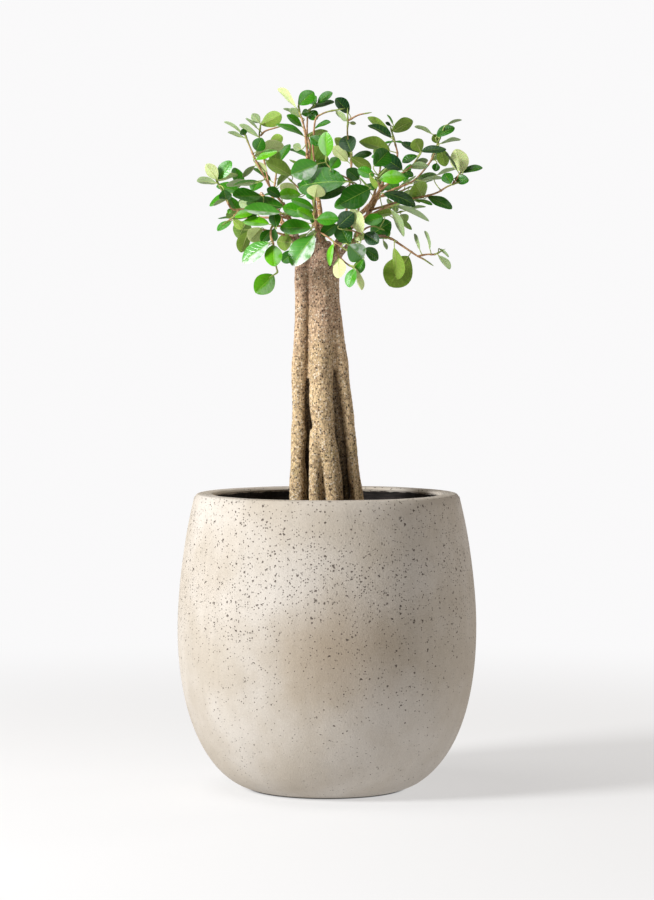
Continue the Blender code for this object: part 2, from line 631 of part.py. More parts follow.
def blade_point(leaf, along, across):
    """A point of the blade's middle surface: along runs 0 to 1 to the tip, across -1 to 1."""
    half = leaf["width"] / 2 * half_width(along) if along > 0 else STALK_HALF
    arch = 4 * leaf["arch"] * leaf["length"] * along * (1 - along)
    fold = leaf["fold"] * half * (abs(across) - 0.5) if 0 < along < 1 else 0
    wave = leaf["wave"] * leaf["length"] * math.sin(9 * along + leaf["phase"]) * abs(across) * across
    return (leaf["base"] + leaf["direction"] * leaf["length"] * along + leaf["side"] * half * across
            + leaf["normal"] * (arch + fold + wave * half_width(along)))


def across_stalk(leaf):
    """The direction across the stalk that turns least from the blade's side."""
    stalk = (leaf["base"] - leaf["attach"]).normalized()
    across = leaf["side"] - stalk * leaf["side"].dot(stalk)
    if across.length < 0.35:
        across = leaf["normal"] - stalk * leaf["normal"].dot(stalk)
    return across.normalized()


def leaf_rows(leaf, stations, root_share=0.0):
    """The two edges of the leaf, row by row, from a share of its stalk to its tip."""
    root = leaf["attach"].lerp(leaf["base"], root_share)
    across = across_stalk(leaf) * STALK_HALF
    return [(root - across, root + across)] + [
        (blade_point(leaf, at, -1), blade_point(leaf, at, 1)) for at in stations]


def simple_stations(leaf):
    """The stations of the simple blade. A short stalk runs into the blade's wedge-shaped base."""
    short = (leaf["base"] - leaf["attach"]).length < SHORT_STALK
    return BLADE_STATIONS[1:] if short else BLADE_STATIONS


def hull_of(rows, normal):
    """A search tree of the rows, as thick as the blade and swollen by the clearance."""
    lift = normal * (BLADE_THICKNESS / 2 + CLEARANCE)
    points = []
    for left, right in rows:
        width = right - left
        out = width.normalized() * CLEARANCE if width.length > STALK_HALF / 10 else Vector()
        points += [left - out + lift, right + out + lift, right + out - lift, left - out - lift]
    faces = [(0, 1, 2, 3), tuple(range(len(points) - 4, len(points)))]
    for first in range(0, len(points) - 4, 4):
        faces += [(first + k, first + (k + 1) % 4, first + 4 + (k + 1) % 4, first + 4 + k)
                  for k in range(4)]
    return BVHTree.FromPolygons(points, faces)


def nearest_joint(lines, x, z, direction):
    """The point of the twigs where a stalk to x, z would join them with the least reach and bend."""
    place = Vector((x, z)) * MM
    heading = Vector((direction.x, direction.z)).normalized()
    best = None
    for line in lines:
        skipped = round(ROOT_LENGTH / ROUTE_STEP) if line is lines[0] else 1
        for point in line[skipped:]:
            reach = place - Vector((point.x, point.z))
            if reach.length < SHORTEST_STALK:
                continue
            cost = reach.length + STALK_BEND_COST * (1 - reach.normalized().dot(heading))
            if best is None or cost < best[0]:
                best = (cost, point)
    return best[1]


def seen_leaf(owner, row, lines, chance, shift, extra_roll):
    """A leaf that the viewer sees from its base to its tip, at its seen width and on its seen face."""
    base_x, base_z, tip_x, tip_z, behind, seen_width, tone = row
    seen_length = math.dist((base_x, base_z), (tip_x, tip_z))
    lean = math.radians(chance["lean"])
    length = seen_length / math.cos(lean)
    if seen_width > chance["share"] * length:
        length = seen_width / chance["share"]
        lean = math.copysign(math.acos(min(1, seen_length / length)), lean)
    width = chance["share"] * length
    roll = math.acos(min(1, seen_width / width)) + math.radians(extra_roll)
    direction = Vector(((tip_x - base_x) / seen_length * math.cos(lean), math.sin(lean),
                        (tip_z - base_z) / seen_length * math.cos(lean)))
    facing = (Vector((0, -1, 0)) + direction * direction.y).normalized()
    level = direction.cross(facing)
    if level.z < -0.15 or (level.z <= 0.15 and level.x * (base_x + tip_x) < 0):
        level.negate()
    shown = -1 if tone in UNDERSIDE_TONES else 1
    normal = (facing * shown * math.cos(roll) + level * math.sin(roll)).normalized()
    attach = nearest_joint(lines, base_x, base_z, direction)
    depth = attach.y / MM + behind + shift - length * math.sin(lean) / 2
    return leaf_of(owner, attach, in_space(base_x, depth, base_z), direction, normal,
                   (length * MM, width * MM), chance, tone)


def spiral_leaf(owner, line, number, chance, shift, extra_roll):
    """A leaf of a stem at the back, in its place on the spiral round the twig."""
    back = round(BACK_LEAF_SPACING * MM * max(0, number - 1) / ROUTE_STEP)
    attach = line[len(line) - 1 - back]
    along = (line[-1] - line[-4]).normalized()
    level = along.cross(Vector((0, 0, 1))).normalized()
    turn = math.radians(SPIRAL_STEP * number + 3 * shift)
    outward = level * math.cos(turn) + along.cross(level) * math.sin(turn)
    bend = math.radians(BACK_LEAF_ANGLE * (0.4 if number == 0 else 1))
    direction = (along * math.cos(bend) + outward * math.sin(bend)).normalized()
    up = Vector((0, 0, 1)) - direction * direction.z
    tilt = math.radians(extra_roll) + chance["lean"] / 40
    normal = (up.normalized() * math.cos(tilt)
              + up.normalized().cross(direction) * math.sin(tilt)).normalized()
    length = (19 + 10 * (chance["share"] - 0.62) / 0.16) * MM
    return leaf_of(owner, attach, attach + direction * 6 * MM, direction, normal,
                   (length, length * chance["share"]), chance, "mid" if number % 3 else "dark")


def back_twig(limb, share, compass, rise, length):
    """The route of a stem at the back: it leaves its limb level and then bends up."""
    line = smooth_route(LIMBS[limb])
    start = Vector(line[round(share * (len(line) - 1))][:3])
    way = Vector((math.cos(math.radians(compass)), math.sin(math.radians(compass)), 0))
    lift = Vector((0, 0, math.tan(math.radians(rise))))
    return tuple(tuple(start + (way + lift * (0.4 + 0.6 * k)).normalized() * length * k)
                 for k in (0, 0.35, 0.7, 1))


def twig_radii(count, main):
    """Radii that taper from a twig's root to its tip."""
    root, tip = TWIG_RADII if main else SIDE_TWIG_RADII
    return [root + (tip - root) * k / max(1, count - 1) for k in range(count)]


def plan_twigs():
    """The twigs of every leafy stem in metres, as fine lines of points, the front ones first."""
    plan = {name: [[in_space(*p) for p in smooth_route(route)] for route in twigs]
            for name, (twigs, _) in SPRAYS.items()}
    for name, (limb, share, compass, rise, length, _) in BACK_SPRAYS.items():
        route = back_twig(limb, share, compass, rise, length)
        plan[name] = [[Vector(p) * MM for p in smooth_route(route)]]
    return plan


def wood_search(plan):
    """A search tree of points along all the wood, with each point's radius and owner."""
    wood = [(Vector(p[:3]) * MM, p[3] * MM, "trunk") for route in (*STEMS.values(), *LIMBS.values())
            for p in smooth_route(route)]
    for name, lines in plan.items():
        for line in lines:
            wood += [(point, radius, name)
                     for point, radius in zip(line, twig_radii(len(line), line is lines[0]))]
    tree = KDTree(len(wood))
    for number, (point, _, _) in enumerate(wood):
        tree.insert(point, number)
    tree.balance()
    return tree, wood


def clear_of_wood(leaf, tree, wood):
    """True if the stalk's outer part and the blade stay off all wood but the leaf's own twigs."""
    samples = [leaf["attach"].lerp(leaf["base"], share) for share in (0.4, 0.7)]
    for along in (0.05, 0.2, 0.35, 0.5, 0.65, 0.8, 0.95):
        samples += [blade_point(leaf, along, across) for across in (-1, -0.5, 0, 0.5, 1)]
    for sample in samples:
        for _, number, distance in tree.find_range(sample, THICKEST_WOOD):
            _, radius, owner = wood[number]
            if owner != leaf["owner"] and distance < radius + BLADE_THICKNESS / 2 + 2 * CLEARANCE:
                return False
    return True


def clear_of_leaves(leaf, crowd, allow_own):
    """The leaf's two hulls, or nothing if it would cross a leaf that stands already."""
    centre = leaf["base"] + leaf["direction"] * leaf["length"] / 2
    reach = leaf["length"] / 2 + (leaf["base"] - leaf["attach"]).length + 2 * CLEARANCE
    rows = leaf_rows(leaf, TEST_STATIONS, 0.35)
    blade = hull_of(rows[1:], leaf["normal"])
    whole = hull_of(rows, leaf["normal"])
    for owner, other_centre, other_reach, other_blade, other_whole in crowd:
        if (centre - other_centre).length > reach + other_reach:
            continue
        if owner == leaf["owner"]:
            if not allow_own and blade.overlap(other_blade):
                return None
        elif whole.overlap(other_whole):
            return None
    return leaf["owner"], centre, reach, blade, whole


def fit_leaf(make, crowd, tree, wood):
    """The leaf as wished, or moved in depth and rolled until it stands clear of its neighbours."""
    for allow_own in (False, True):
        for extra_roll in EXTRA_ROLLS:
            for shift in DEPTH_SHIFTS:
                leaf = make(shift, extra_roll)
                if not clear_of_wood(leaf, tree, wood):
                    continue
                room = clear_of_leaves(leaf, crowd, allow_own)
                if room:
                    crowd.append(room)
                    return leaf
    return None


def grow_crown():
    """The twigs and fitted leaves of every leafy stem, and the leaves that found no room."""
    plan = plan_twigs()
    tree, wood = wood_search(plan)
    crowd, fitted, lost = [], {}, []
    for order, (name, lines) in enumerate(plan.items()):
        draw = random.Random(CROWN_SEED + order)
        fitted[name] = []
        wished = SPRAYS[name][1] if name in SPRAYS else range(BACK_SPRAYS[name][-1])
        for wish in wished:
            chance = draw_chances(draw)
            maker = seen_leaf if name in SPRAYS else spiral_leaf
            source = (wish, lines) if name in SPRAYS else (lines[0], wish)

            def make(shift, extra_roll):
                return maker(name, *source, chance, shift, extra_roll)
            leaf = fit_leaf(make, crowd, tree, wood)
            if leaf:
                fitted[name].append(leaf)
            else:
                lost.append((name, wish))
    return plan, fitted, lost


def leaf_object(name, leaf, group):
    """One leaf as a thin sheet of a grid's faces, thickened to its blade."""
    rows = leaf_rows(leaf, simple_stations(leaf))
    sheet = bmesh.new()
    bmesh.ops.create_grid(sheet, x_segments=1, y_segments=len(rows) - 1, size=1)
    for corner in sheet.verts:
        row = round((corner.co.y + 1) / 2 * (len(rows) - 1))
        corner.co = rows[row][0 if corner.co.x < 0 else 1]
    bmesh.ops.remove_doubles(sheet, verts=sheet.verts, dist=0.01 * MM)
    bmesh.ops.recalc_face_normals(sheet, faces=sheet.faces)
    bmesh.ops.triangulate(sheet, faces=sheet.faces)
    mesh = bpy.data.meshes.new(name)
    sheet.to_mesh(mesh)
    sheet.free()
    item = new_object(name, mesh, group)
    thicken = item.modifiers.new("Blade", "SOLIDIFY")
    thicken.thickness = BLADE_THICKNESS
    thicken.offset = 0
    return item


def build_spray(name, lines, leaves, group, seat):
    """One leafy stem: its twigs and leaves as one solid, seated on the limb that bears it."""
    parts = new_collection(f"{name}_parts", shown=False)
    tubes = []
    for number, line in enumerate(lines):
        kept = thin_line(line, TWIG_TOLERANCE)
        radii = twig_radii(len(line), number == 0)
        tubes.append(tube(f"{name}_twig_{number}", [line[k] for k in kept], [radii[k] for k in kept],
                          parts))
    for number, leaf in enumerate(leaves):
        leaf_object(f"{name}_leaf_{number}", leaf, parts)
    spray = new_object(f"spray_{name}", tubes[0].data.copy(), group)
    bpy.data.objects.remove(tubes[0])
    boolean(spray, "UNION", parts)
    clear_out(parts)
    boolean(spray, "DIFFERENCE", seat)
    change_mesh(spray.data, drop_scraps)
    finish(spray, "leaf", 30)
    return spray


def main():
    empty_the_scene()
    group = new_collection("potted_banyan")
    helpers = new_collection("cutters", shown=False)
    build_pot(group)
    trunk = build_trunk(group, helpers)
    seat = swollen(trunk, SEAT_GAP, helpers)
    build_soil(group, seat)
    plan, fitted, lost = grow_crown()
    for name, lines in plan.items():
        build_spray(name, lines, fitted[name], group, seat)
    print("leaves", sum(len(leaves) for leaves in fitted.values()), "with no room", lost)


main()
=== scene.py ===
"""The looks of a potted Chinese banyan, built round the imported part: a small fig tree of several
grown-together stems in a round concrete planter.

The frame: +Z up, the origin at the centre of the planter's foot, +X to the viewer's right and +Y
away from the viewer. Sizes are in metres, and the tables of the tree's growth are in millimetres.
"""

import math
import random

import bmesh
import bpy
from mathutils import Color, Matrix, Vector, noise
from mathutils.bvhtree import BVHTree
from mathutils.kdtree import KDTree


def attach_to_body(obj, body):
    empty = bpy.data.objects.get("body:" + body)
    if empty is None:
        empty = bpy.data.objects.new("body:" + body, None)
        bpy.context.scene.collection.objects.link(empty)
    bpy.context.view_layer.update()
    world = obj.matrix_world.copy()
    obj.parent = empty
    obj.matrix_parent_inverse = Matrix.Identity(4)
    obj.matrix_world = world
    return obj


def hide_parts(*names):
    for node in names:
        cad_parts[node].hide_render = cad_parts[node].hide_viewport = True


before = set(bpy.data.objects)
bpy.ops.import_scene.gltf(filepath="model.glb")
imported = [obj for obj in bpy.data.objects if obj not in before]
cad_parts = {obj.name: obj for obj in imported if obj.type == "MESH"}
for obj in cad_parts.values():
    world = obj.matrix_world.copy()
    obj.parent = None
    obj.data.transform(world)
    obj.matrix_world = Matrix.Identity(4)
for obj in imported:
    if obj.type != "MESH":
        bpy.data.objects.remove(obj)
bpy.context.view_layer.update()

MM = 0.001

# The planter.
POT_HEIGHT = 0.317
POT_RADIUS = 0.160
BELLY_HEIGHT = 0.168
RIM_RADIUS = 0.141
FOOT_RADIUS = 0.079
BOWL_INSET = 0.007
BOWL_CURVE = 2.15
WALL = 0.020
RIM_ROUND = 0.004
RIM_ARC_STEPS = 5
FLOOR_THICKNESS = 0.022
FLOOR_ROUND = 0.004
DRAIN_RADIUS = 0.012
POT_SIDES = 160
OUTSIDE_STEPS = 56
INSIDE_STEPS = 24
POT_DENTS = 0.5 * MM

# The potting mix and its crumbs.
SOIL_TOP = 0.262
SOIL_MOUND = 0.005
SOIL_GAP = 0.3 * MM
SOIL_RINGS = 44
SOIL_SIDES = 120
SOIL_ROUGHNESS = 1.6 * MM
CRUMB_COUNT = 2600
CRUMB_SIZES = (0.8 * MM, 2.6 * MM)
CRUMB_SEED = 5

# The trunk's surface.
TRUNK_VOXEL = 1.25 * MM
TRUNK_SOFTENING = 9
LIMB_SLIMNESS = 0.86
HOLLOW_RAYS = 9
HOLLOW_REACH = 30 * MM
HOLLOW_START = 0.7 * MM

# The viewer, at whose distance the seen positions in the tables hold.
EYE_DISTANCE = 3400
EYE_HEIGHT = 520

# The twigs and the blades of the leaves.
ROUTE_STEP = 2 * MM
TWIG_RADII = (1.9 * MM, 1.15 * MM)
SIDE_TWIG_RADII = (1.4 * MM, 1.1 * MM)
ROOT_LENGTH = 8 * MM
SHORTEST_STALK = 4 * MM
STALK_BEND_COST = 7 * MM
STALK_HALF = 0.5 * MM
BLADE_LEAN = 1.12
BLADE_FULLNESS = 0.6
BLADE_THICKNESS = 0.8 * MM
TEST_STATIONS = (0.0, 0.15, 0.4, 0.7, 0.9, 1.0)
CLEARANCE = 0.5 * MM
THICKEST_WOOD = 14 * MM
TWIG_SLIMNESS = 0.72
NODE_SWELLING = 0.35 * MM
NODE_REACH = 1.4 * MM
BUD = ((0.8 * MM, 1.05), (2.2 * MM, 0.95), (4.2 * MM, 0.6), (6.2 * MM, 0.12))
STALK_BEND = 0.42

# Each stem of the trunk from its foot up: x, y, z and radius.
STEMS = {
    "left": ((-37, 3, 224, 10), (-34, 3, 262, 10), (-31, 1, 310, 9.8), (-31, 0, 350, 8.6),
             (-30, 1, 385, 8.0), (-30, 0, 420, 7.4), (-29, 0, 450, 9.2), (-27, 0, 500, 7.8),
             (-27, 0, 550, 7.6), (-28, -1, 584, 6.6)),
    "main": ((11, -9, 224, 13), (9, -8, 262, 12.4), (6.5, -8, 310, 11.6), (3, -8, 350, 11),
             (-3, -7, 385, 12), (-6, -6, 420, 13), (-6, -5, 470, 13), (-5, -3, 520, 13),
             (-4, -2, 560, 12), (-4, -1, 586, 8.4)),
    "front": ((-15, -18, 224, 7.5), (-13, -16, 262, 7.2), (-12, -15, 310, 7), (-13, -13, 345, 6.6),
              (-11, -8, 385, 7)),
    "right": ((39, 3, 224, 8), (36, 4, 262, 7.2), (32.5, 3, 310, 6.7), (27.5, 2, 350, 6.6),
              (22, 1, 400, 6.6), (17, 0, 440, 7.4), (11, 0, 480, 8.6), (5, 0, 520, 8.8),
              (4, 0, 556, 9)),
    "back": ((22, 26, 224, 12), (20, 23, 262, 12), (17, 18, 330, 11.5), (9, 13, 400, 11),
             (0, 9, 470, 11.5), (-4, 6, 540, 11), (-5, 4, 578, 8)),
    "back_left": ((-18, 30, 224, 10), (-18, 27, 262, 9.5), (-19, 20, 320, 9), (-20, 11, 400, 9),
                  (-18, 7, 480, 9.5), (-17, 4, 550, 9), (-16, 5, 584, 7.5)),
}

# The limbs that the trunk carries, from the trunk out: x, y, z and radius.
LIMBS = {
    "left": ((-27, 0, 570, 6.2), (-33, -3, 592, 4), (-40, -8, 610, 3.3), (-47, -13, 627, 2.7)),
    "top": ((-6, 5, 568, 5.5), (-10, 9, 597, 3.3), (-15, 8, 638, 2.9), (-20, 6, 668, 2.6),
            (-21, 5, 684, 2.4)),
    "right": ((2, 3, 562, 6), (14, 6, 590, 3.6), (30, 7, 604, 3.2), (43, 8, 614, 3),
              (52, 9, 630, 2.7), (60, 10, 650, 2.5)),
    "right_low": ((4, -3, 560, 5.6), (24, -10, 582, 3.4), (44, -13, 591, 2.8), (63, -15, 591, 2.4)),
    "back": ((-4, 7, 562, 6), (-6, 28, 600, 4), (-8, 52, 622, 3.6), (-10, 70, 640, 2.6)),
    "back_right": ((4, 7, 562, 5.5), (22, 30, 602, 3.8), (42, 54, 622, 3.4), (58, 72, 638, 2.6)),
    "back_left": ((-24, 3, 566, 6), (-42, 26, 598, 4.2), (-58, 44, 620, 3.2), (-72, 58, 640, 2.4)),
}

# The leafy stems that show in front, read against the specimen. x and z are as the viewer sees
# them at the trunk's own depth. A route runs from its limb to its tip as x, y, z, and side twigs
# follow it. A leaf is its base's x and z, its tip's x and z, how far behind its twig it stands, its
# seen width and its tone. Pale, olive and grey leaves show the underside.
SPRAYS = {
    "left_tip": (
        (((-40, -8, 610), (-54, -16, 613), (-70, -24, 617), (-88, -30, 620), (-101, -32, 620),
          (-107, -33, 630), (-112, -34, 640), (-118, -36, 651)),
         ((-94, -31, 619), (-101, -34, 611), (-108, -36, 606))),
        ((-117, 652, -129, 668, -2, 13, "pale"), (-116, 652, -102, 671, 2, 14, "mid"),
         (-118, 648, -139, 650, -2, 8, "grey"), (-116, 650, -95, 657, 6, 6, "pale"),
         (-110, 641, -108, 630, -6, 14, "dark"), (-108, 630, -121, 624, -5, 4, "grey"),
         (-103, 621, -105, 615, 0, 5, "bright"), (-100, 609, -90, 599, -4, 9, "olive"),
         (-99, 612, -79, 616, -6, 9, "bright"))),
    "left_upper": (
        (((-46, -12, 625), (-52, -14, 632), (-62, -16, 646), (-70, -17, 661), (-76, -17, 672),
          (-82, -16, 686), (-86, -15, 696), (-88, -15, 702)),),
        ((-88, 699, -90, 705, -3, 8, "dark"), (-90, 700, -110, 713, 5, 3, "grey"),
         (-88, 696, -106, 702, 7, 4, "grey"), (-75, 682, -69, 695, -10, 15, "dark"),
         (-77, 677, -46, 688, 8, 16, "pale"), (-76, 673, -53, 681, -6, 9, "bright"),
         (-77, 670, -64, 660, 2, 8, "pale"), (-76, 648, -107, 645, -5, 7, "grey"),
         (-74, 650, -100, 646, -12, 3, "dark"), (-77, 666, -90, 654, 6, 6, "grey"))),
    "left_mid": (
        (((-15, 8, 632), (-26, 2, 639), (-38, -1, 650)),),
        ((-28, 636, -52, 634, -8, 13, "bright"), (-30, 634, -50, 646, -4, 14, "pale"),
         (-38, 656, -65, 671, 2, 15, "olive"))),
    "left_top": (
        (((-46, 31, 604), (-60, 28, 640), (-67, 26, 672), (-72, 25, 695), (-71, 25, 708)),
         ((-71, 25, 698), (-66, 24, 703), (-57, 23, 706), (-50, 23, 708))),
        ((-70, 710, -48, 720, -2, 17, "olive"), (-72, 712, -80, 722, 6, 10, "grey"),
         (-73, 697, -94, 710, -6, 6, "grey"), (-74, 706, -87, 717, 2, 3, "grey"),
         (-61, 690, -47, 697, -12, 12, "olive"))),
    "left_front": (
        (((-38, -7, 605), (-46, -20, 614), (-58, -28, 621), (-70, -32, 626)),
         ((-50, -23, 617), (-56, -34, 610), (-58, -40, 604))),
        ((-70, 634, -100, 634, -2, 15, "dark"), (-50, 633, -64, 642, 4, 11, "dark"),
         (-47, 622, -86, 628, -10, 15, "dark"), (-50, 616, -88, 620, -16, 14, "gloss"),
         (-62, 604, -89, 608, -6, 11, "bright"), (-54, 601, -57, 617, -9, 13, "dark"),
         (-80, 622, -94, 628, 6, 11, "grey"), (-76, 616, -84, 607, -2, 10, "dark"))),
    "lower_left": (
        (((-34, -4, 595), (-46, -22, 601), (-58, -32, 602), (-60, -38, 592), (-57, -40, 582),
          (-56, -40, 570), (-54, -40, 558), (-53, -40, 553), (-57, -41, 550)),),
        ((-62, 584, -90, 564, -6, 18, "gloss"), (-58, 582, -56, 559, -10, 19, "bright"),
         (-61, 583, -68, 583, -4, 6, "bright"), (-57, 550, -76, 531, -1, 22, "bright"),
         (-60, 598, -70, 585, 7, 12, "dark"), (-56, 600, -56, 586, 6, 9, "dark"))),
    "left_low": (
        (((-32, -2, 588), (-42, -4, 591), (-50, -5, 594), (-68, -4, 598), (-84, -4, 598)),),
        ((-84, 596, -92, 574, -2, 14, "olive"), (-70, 600, -82, 586, -10, 18, "pale"),
         (-38, 585, -54, 586, -3, 19, "olive"), (-34, 576, -48, 564, -5, 13, "dark"))),
    "front": (
        (((-6, -4, 584), (-9, -18, 592), (-12, -32, 600), (-12, -38, 606), (-14, -42, 614),
          (-14, -46, 622), (-14, -50, 631)),
         ((-10, -26, 597), (0, -38, 591), (8, -44, 585), (20, -50, 577)),
         ((7, -43, 586), (12, -47, 572), (20, -50, 563), (28, -52, 558))),
        ((-14, 620, -38, 630, -6, 10, "mid"), (-15, 610, -32, 620, -4, 12, "bright"),
         (-11, 609, 12, 609, -9, 15, "mid"), (-13, 633, -10, 647, -8, 20, "pale"),
         (-15, 630, -22, 636, -4, 5, "mid"), (-14, 592, -37, 560, -16, 24, "gloss"),
         (-17, 600, -50, 600, -2, 17, "mid"), (-20, 615, -47, 622, 8, 16, "mid"),
         (7, 583, 3, 560, -4, 7, "bright"), (12, 568, 13, 547, -6, 14, "pale"),
         (23, 582, 38, 568, -8, 22, "gloss"), (28, 558, 37, 534, -2, 7, "pale"),
         (29, 557, 24, 537, 2, 12, "mid"), (39, 567, 31, 551, 6, 12, "mid"))),
    "centre": (
        (((30, 7, 604), (34, -8, 622), (36, -22, 638), (31, -30, 647), (22, -34, 650)),
         ((35, -20, 636), (24, -24, 651), (10, -24, 659), (0, -22, 668), (-1, -22, 673))),
        ((20, 649, -30, 645, -12, 30, "dark"), (46, 642, 14, 625, -12, 26, "dark"),
         (20, 644, -8, 631, 4, 14, "dark"), (30, 632, 8, 622, 9, 14, "mid"),
         (0, 676, -1, 702, -6, 16, "bright"), (4, 663, 12, 675, -4, 13, "mid"),
         (2, 657, -8, 672, 6, 13, "dark"), (-10, 668, -38, 657, -10, 23, "gloss"),
         (34, 652, 21, 662, 10, 15, "dark"))),
    "top_left": (
        (((-21, 5, 682), (-22, 5, 690), (-23, 5, 700), (-26, 4, 714), (-29, 4, 722), (-30, 4, 730)),),
        ((-30, 731, -14, 745, -3, 16, "mid"), (-33, 728, -53, 748, 1, 7, "pale"),
         (-27, 708, -43, 720, -1, 9, "mid"), (-29, 718, -40, 727, 5, 8, "grey"),
         (-27, 721, -19, 724, 7, 9, "mid"), (-25, 698, -55, 711, 4, 8, "mid"),
         (-22, 697, 1, 703, 2, 6, "olive"), (-28, 718, -47, 727, 9, 3, "grey"),
         (-28, 684, -36, 689, 3, 9, "grey"))),
    "top_mid": (
        (((-20, 6, 666), (-18, 13, 684), (-21, 17, 700), (-21, 17, 712), (-20, 17, 722),
          (-14, 17, 731)),),
        ((-13, 731, -18, 741, 1, 12, "mid"), (-10, 733, 6, 744, -1, 10, "dark"),
         (-18, 727, 8, 733, -5, 7, "dark"), (-19, 724, -10, 715, -3, 12, "dark"))),
    "top_right": (
        (((-16, 8, 644), (-13, -2, 664), (-15, -6, 684), (-14, -7, 702), (-12, -7, 716), (-6, -7, 721),
          (2, -7, 724), (13, -7, 726)),),
        ((10, 724, 21, 714, 0, 6, "grey"), (-18, 697, -6, 689, -6, 11, "dark"),
         (-13, 706, 4, 712, -4, 6, "dark"))),
    "centre_top": (
        (((16, 5.5, 592), (21, 14, 620), (24, 14, 645), (26, 12, 668), (26, 11, 680), (22, 10, 698),
          (22, 10, 712), (22, 10, 722)),
         ((22, 10, 714), (33, 10, 720), (42, 10, 722))),
        ((23, 722, 9, 738, 4, 14, "blue"), (21, 714, 9, 723, 8, 4, "grey"),
         (24, 712, 31, 711, 4, 4, "grey"), (26, 681, 19, 699, -6, 19, "blue"),
         (25, 675, 8, 696, 0, 12, "olive"), (22, 671, 6, 687, 6, 13, "pale"),
         (27, 675, 48, 679, 4, 9, "dark"),
         (26, 675, 47, 662, -2, 12, "olive"))),
    "right_up": (
        (((58, 10, 646), (67, 13, 661), (75, 15, 676), (72, 16, 692), (69, 16, 703)),),
        ((70, 703, 92, 714, -2, 14, "olive"), (68, 698, 43, 718, 4, 8, "olive"),
         (68, 696, 44, 710, -2, 10, "blue"), (70, 711, 64, 721, 0, 3, "bright"),
         (70, 692, 61, 690, -2, 3, "mid"), (72, 692, 81, 690, -2, 3, "mid"),
         (67, 682, 34, 692, -4, 13, "olive"), (68, 709, 62, 712, 8, 4, "blue"))),
    "right_front": (
        (((42, 8, 613), (46, -12, 626), (56, -26, 642), (54, -30, 652), (60, -34, 660)),),
        ((50, 666, 66, 683, 6, 20, "dark"), (56, 652, 83, 654, -8, 15, "bright"),
         (50, 655, 33, 663, -3, 12, "mid"), (46, 656, 52, 642, -4, 6, "olive"))),
    "right_cluster": (
        (((55, 9, 638), (66, 2, 648), (80, -2, 658), (92, -4, 668), (98, -4, 677)),),
        ((80, 662, 57, 677, -14, 18, "blue"), (99, 680, 80, 692, 2, 10, "blue"),
         (100, 681, 93, 694, -6, 15, "olive"), (101, 681, 127, 685, -4, 10, "blue"),
         (96, 677, 80, 670, 4, 9, "dark"), (92, 668, 108, 672, 6, 8, "grey"),
         (88, 664, 108, 666, 2, 8, "grey"), (80, 659, 92, 655, -3, 8, "dark"))),
    "right_high": (
        (((40, 52, 620), (64, 44, 638), (90, 36, 649), (102, 33, 660), (112, 31, 674), (118, 30, 690),
          (123, 29, 702)),),
        ((117, 697, 136, 708, -2, 12, "dark"), (119, 690, 113, 699, 2, 9, "olive"),
         (112, 700, 93, 708, 4, 4, "grey"), (121, 690, 143, 694, -2, 3, "grey"),
         (128, 710, 144, 715, 2, 3, "grey"), (121, 684, 127, 666, -4, 14, "olive"),
         (112, 672, 118, 680, 4, 9, "grey"), (117, 669, 115, 660, -6, 9, "dark"),
         (92, 648, 118, 656, -8, 9, "grey"), (100, 651, 124, 653, -2, 4, "grey"))),
    "right_far": (
        (((46, 8, 619), (60, 4, 623), (80, -1, 629), (105, -5, 634), (118, -6, 638), (128, -6, 644),
          (138, -6, 648), (146, -6, 650)),
         ((134, -6, 647), (140, -4, 655), (143, -4, 661))),
        ((103, 632, 93, 646, -5, 22, "olive"), (107, 634, 133, 620, -4, 12, "dark"),
         (132, 647, 126, 659, -2, 13, "dark"), (136, 653, 151, 650, 0, 11, "dark"),
         (145, 660, 138, 685, 1, 20, "pale"), (143, 659, 166, 664, -3, 8, "dark"),
         (139, 661, 126, 680, 3, 4, "blue"), (118, 657, 141, 664, 10, 3, "grey"),
         (94, 630, 112, 624, -2, 5, "bright"))),
    "right_mid": (
        (((36, 7, 609), (46, -8, 614), (58, -16, 620), (75, -20, 625)),),
        ((50, 613, 70, 617, 0, 9, "olive"), (60, 637, 94, 623, -9, 14, "blue"),
         (72, 624, 109, 607, 4, 5, "grey"),
         (68, 619, 82, 591, -5, 8, "grey"))),
    "right_droop": (
        (((61, -15, 591), (70, -17, 588), (76, -19, 584), (88, -20, 576), (97, -21, 570),
          (103, -21, 567), (109, -21, 563)),
         ((96, -21, 570), (107, -19, 572), (115, -18, 572), (121, -17, 575))),
        ((87, 570, 66, 538, -5, 32, "olive"), (72, 579, 75, 546, -13, 12, "olive"),
         (99, 577, 93, 594, 2, 4, "grey"), (110, 577, 104, 597, 0, 3, "grey"),
         (119, 571, 131, 556, -3, 7, "grey"), (120, 578, 130, 569, 1, 3, "grey"),
         (60, 587, 64, 577, -2, 4, "grey"))),
    "right_under": (
        (((24, -10, 582), (32, -22, 592), (42, -28, 600), (50, -30, 602), (56, -30, 600)),
         ((34, -24, 594), (28, -32, 597), (22, -34, 598))),
        ((60, 612, 40, 606, -4, 13, "mid"), (47, 593, 68, 606, 5, 22, "dark"),
         (40, 594, 55, 584, -6, 15, "blue"), (40, 578, 55, 567, 2, 13, "dark"),
         (38, 595, 25, 620, -10, 15, "pale"), (36, 586, 32, 598, -6, 12, "pale"),
         (12, 602, 28, 616, 4, 18, "blue"), (10, 604, -6, 592, 10, 14, "dark"),
         (24, 582, 12, 606, -8, 20, "dark"))),
}
UNDERSIDE_TONES = ("pale", "olive", "grey")

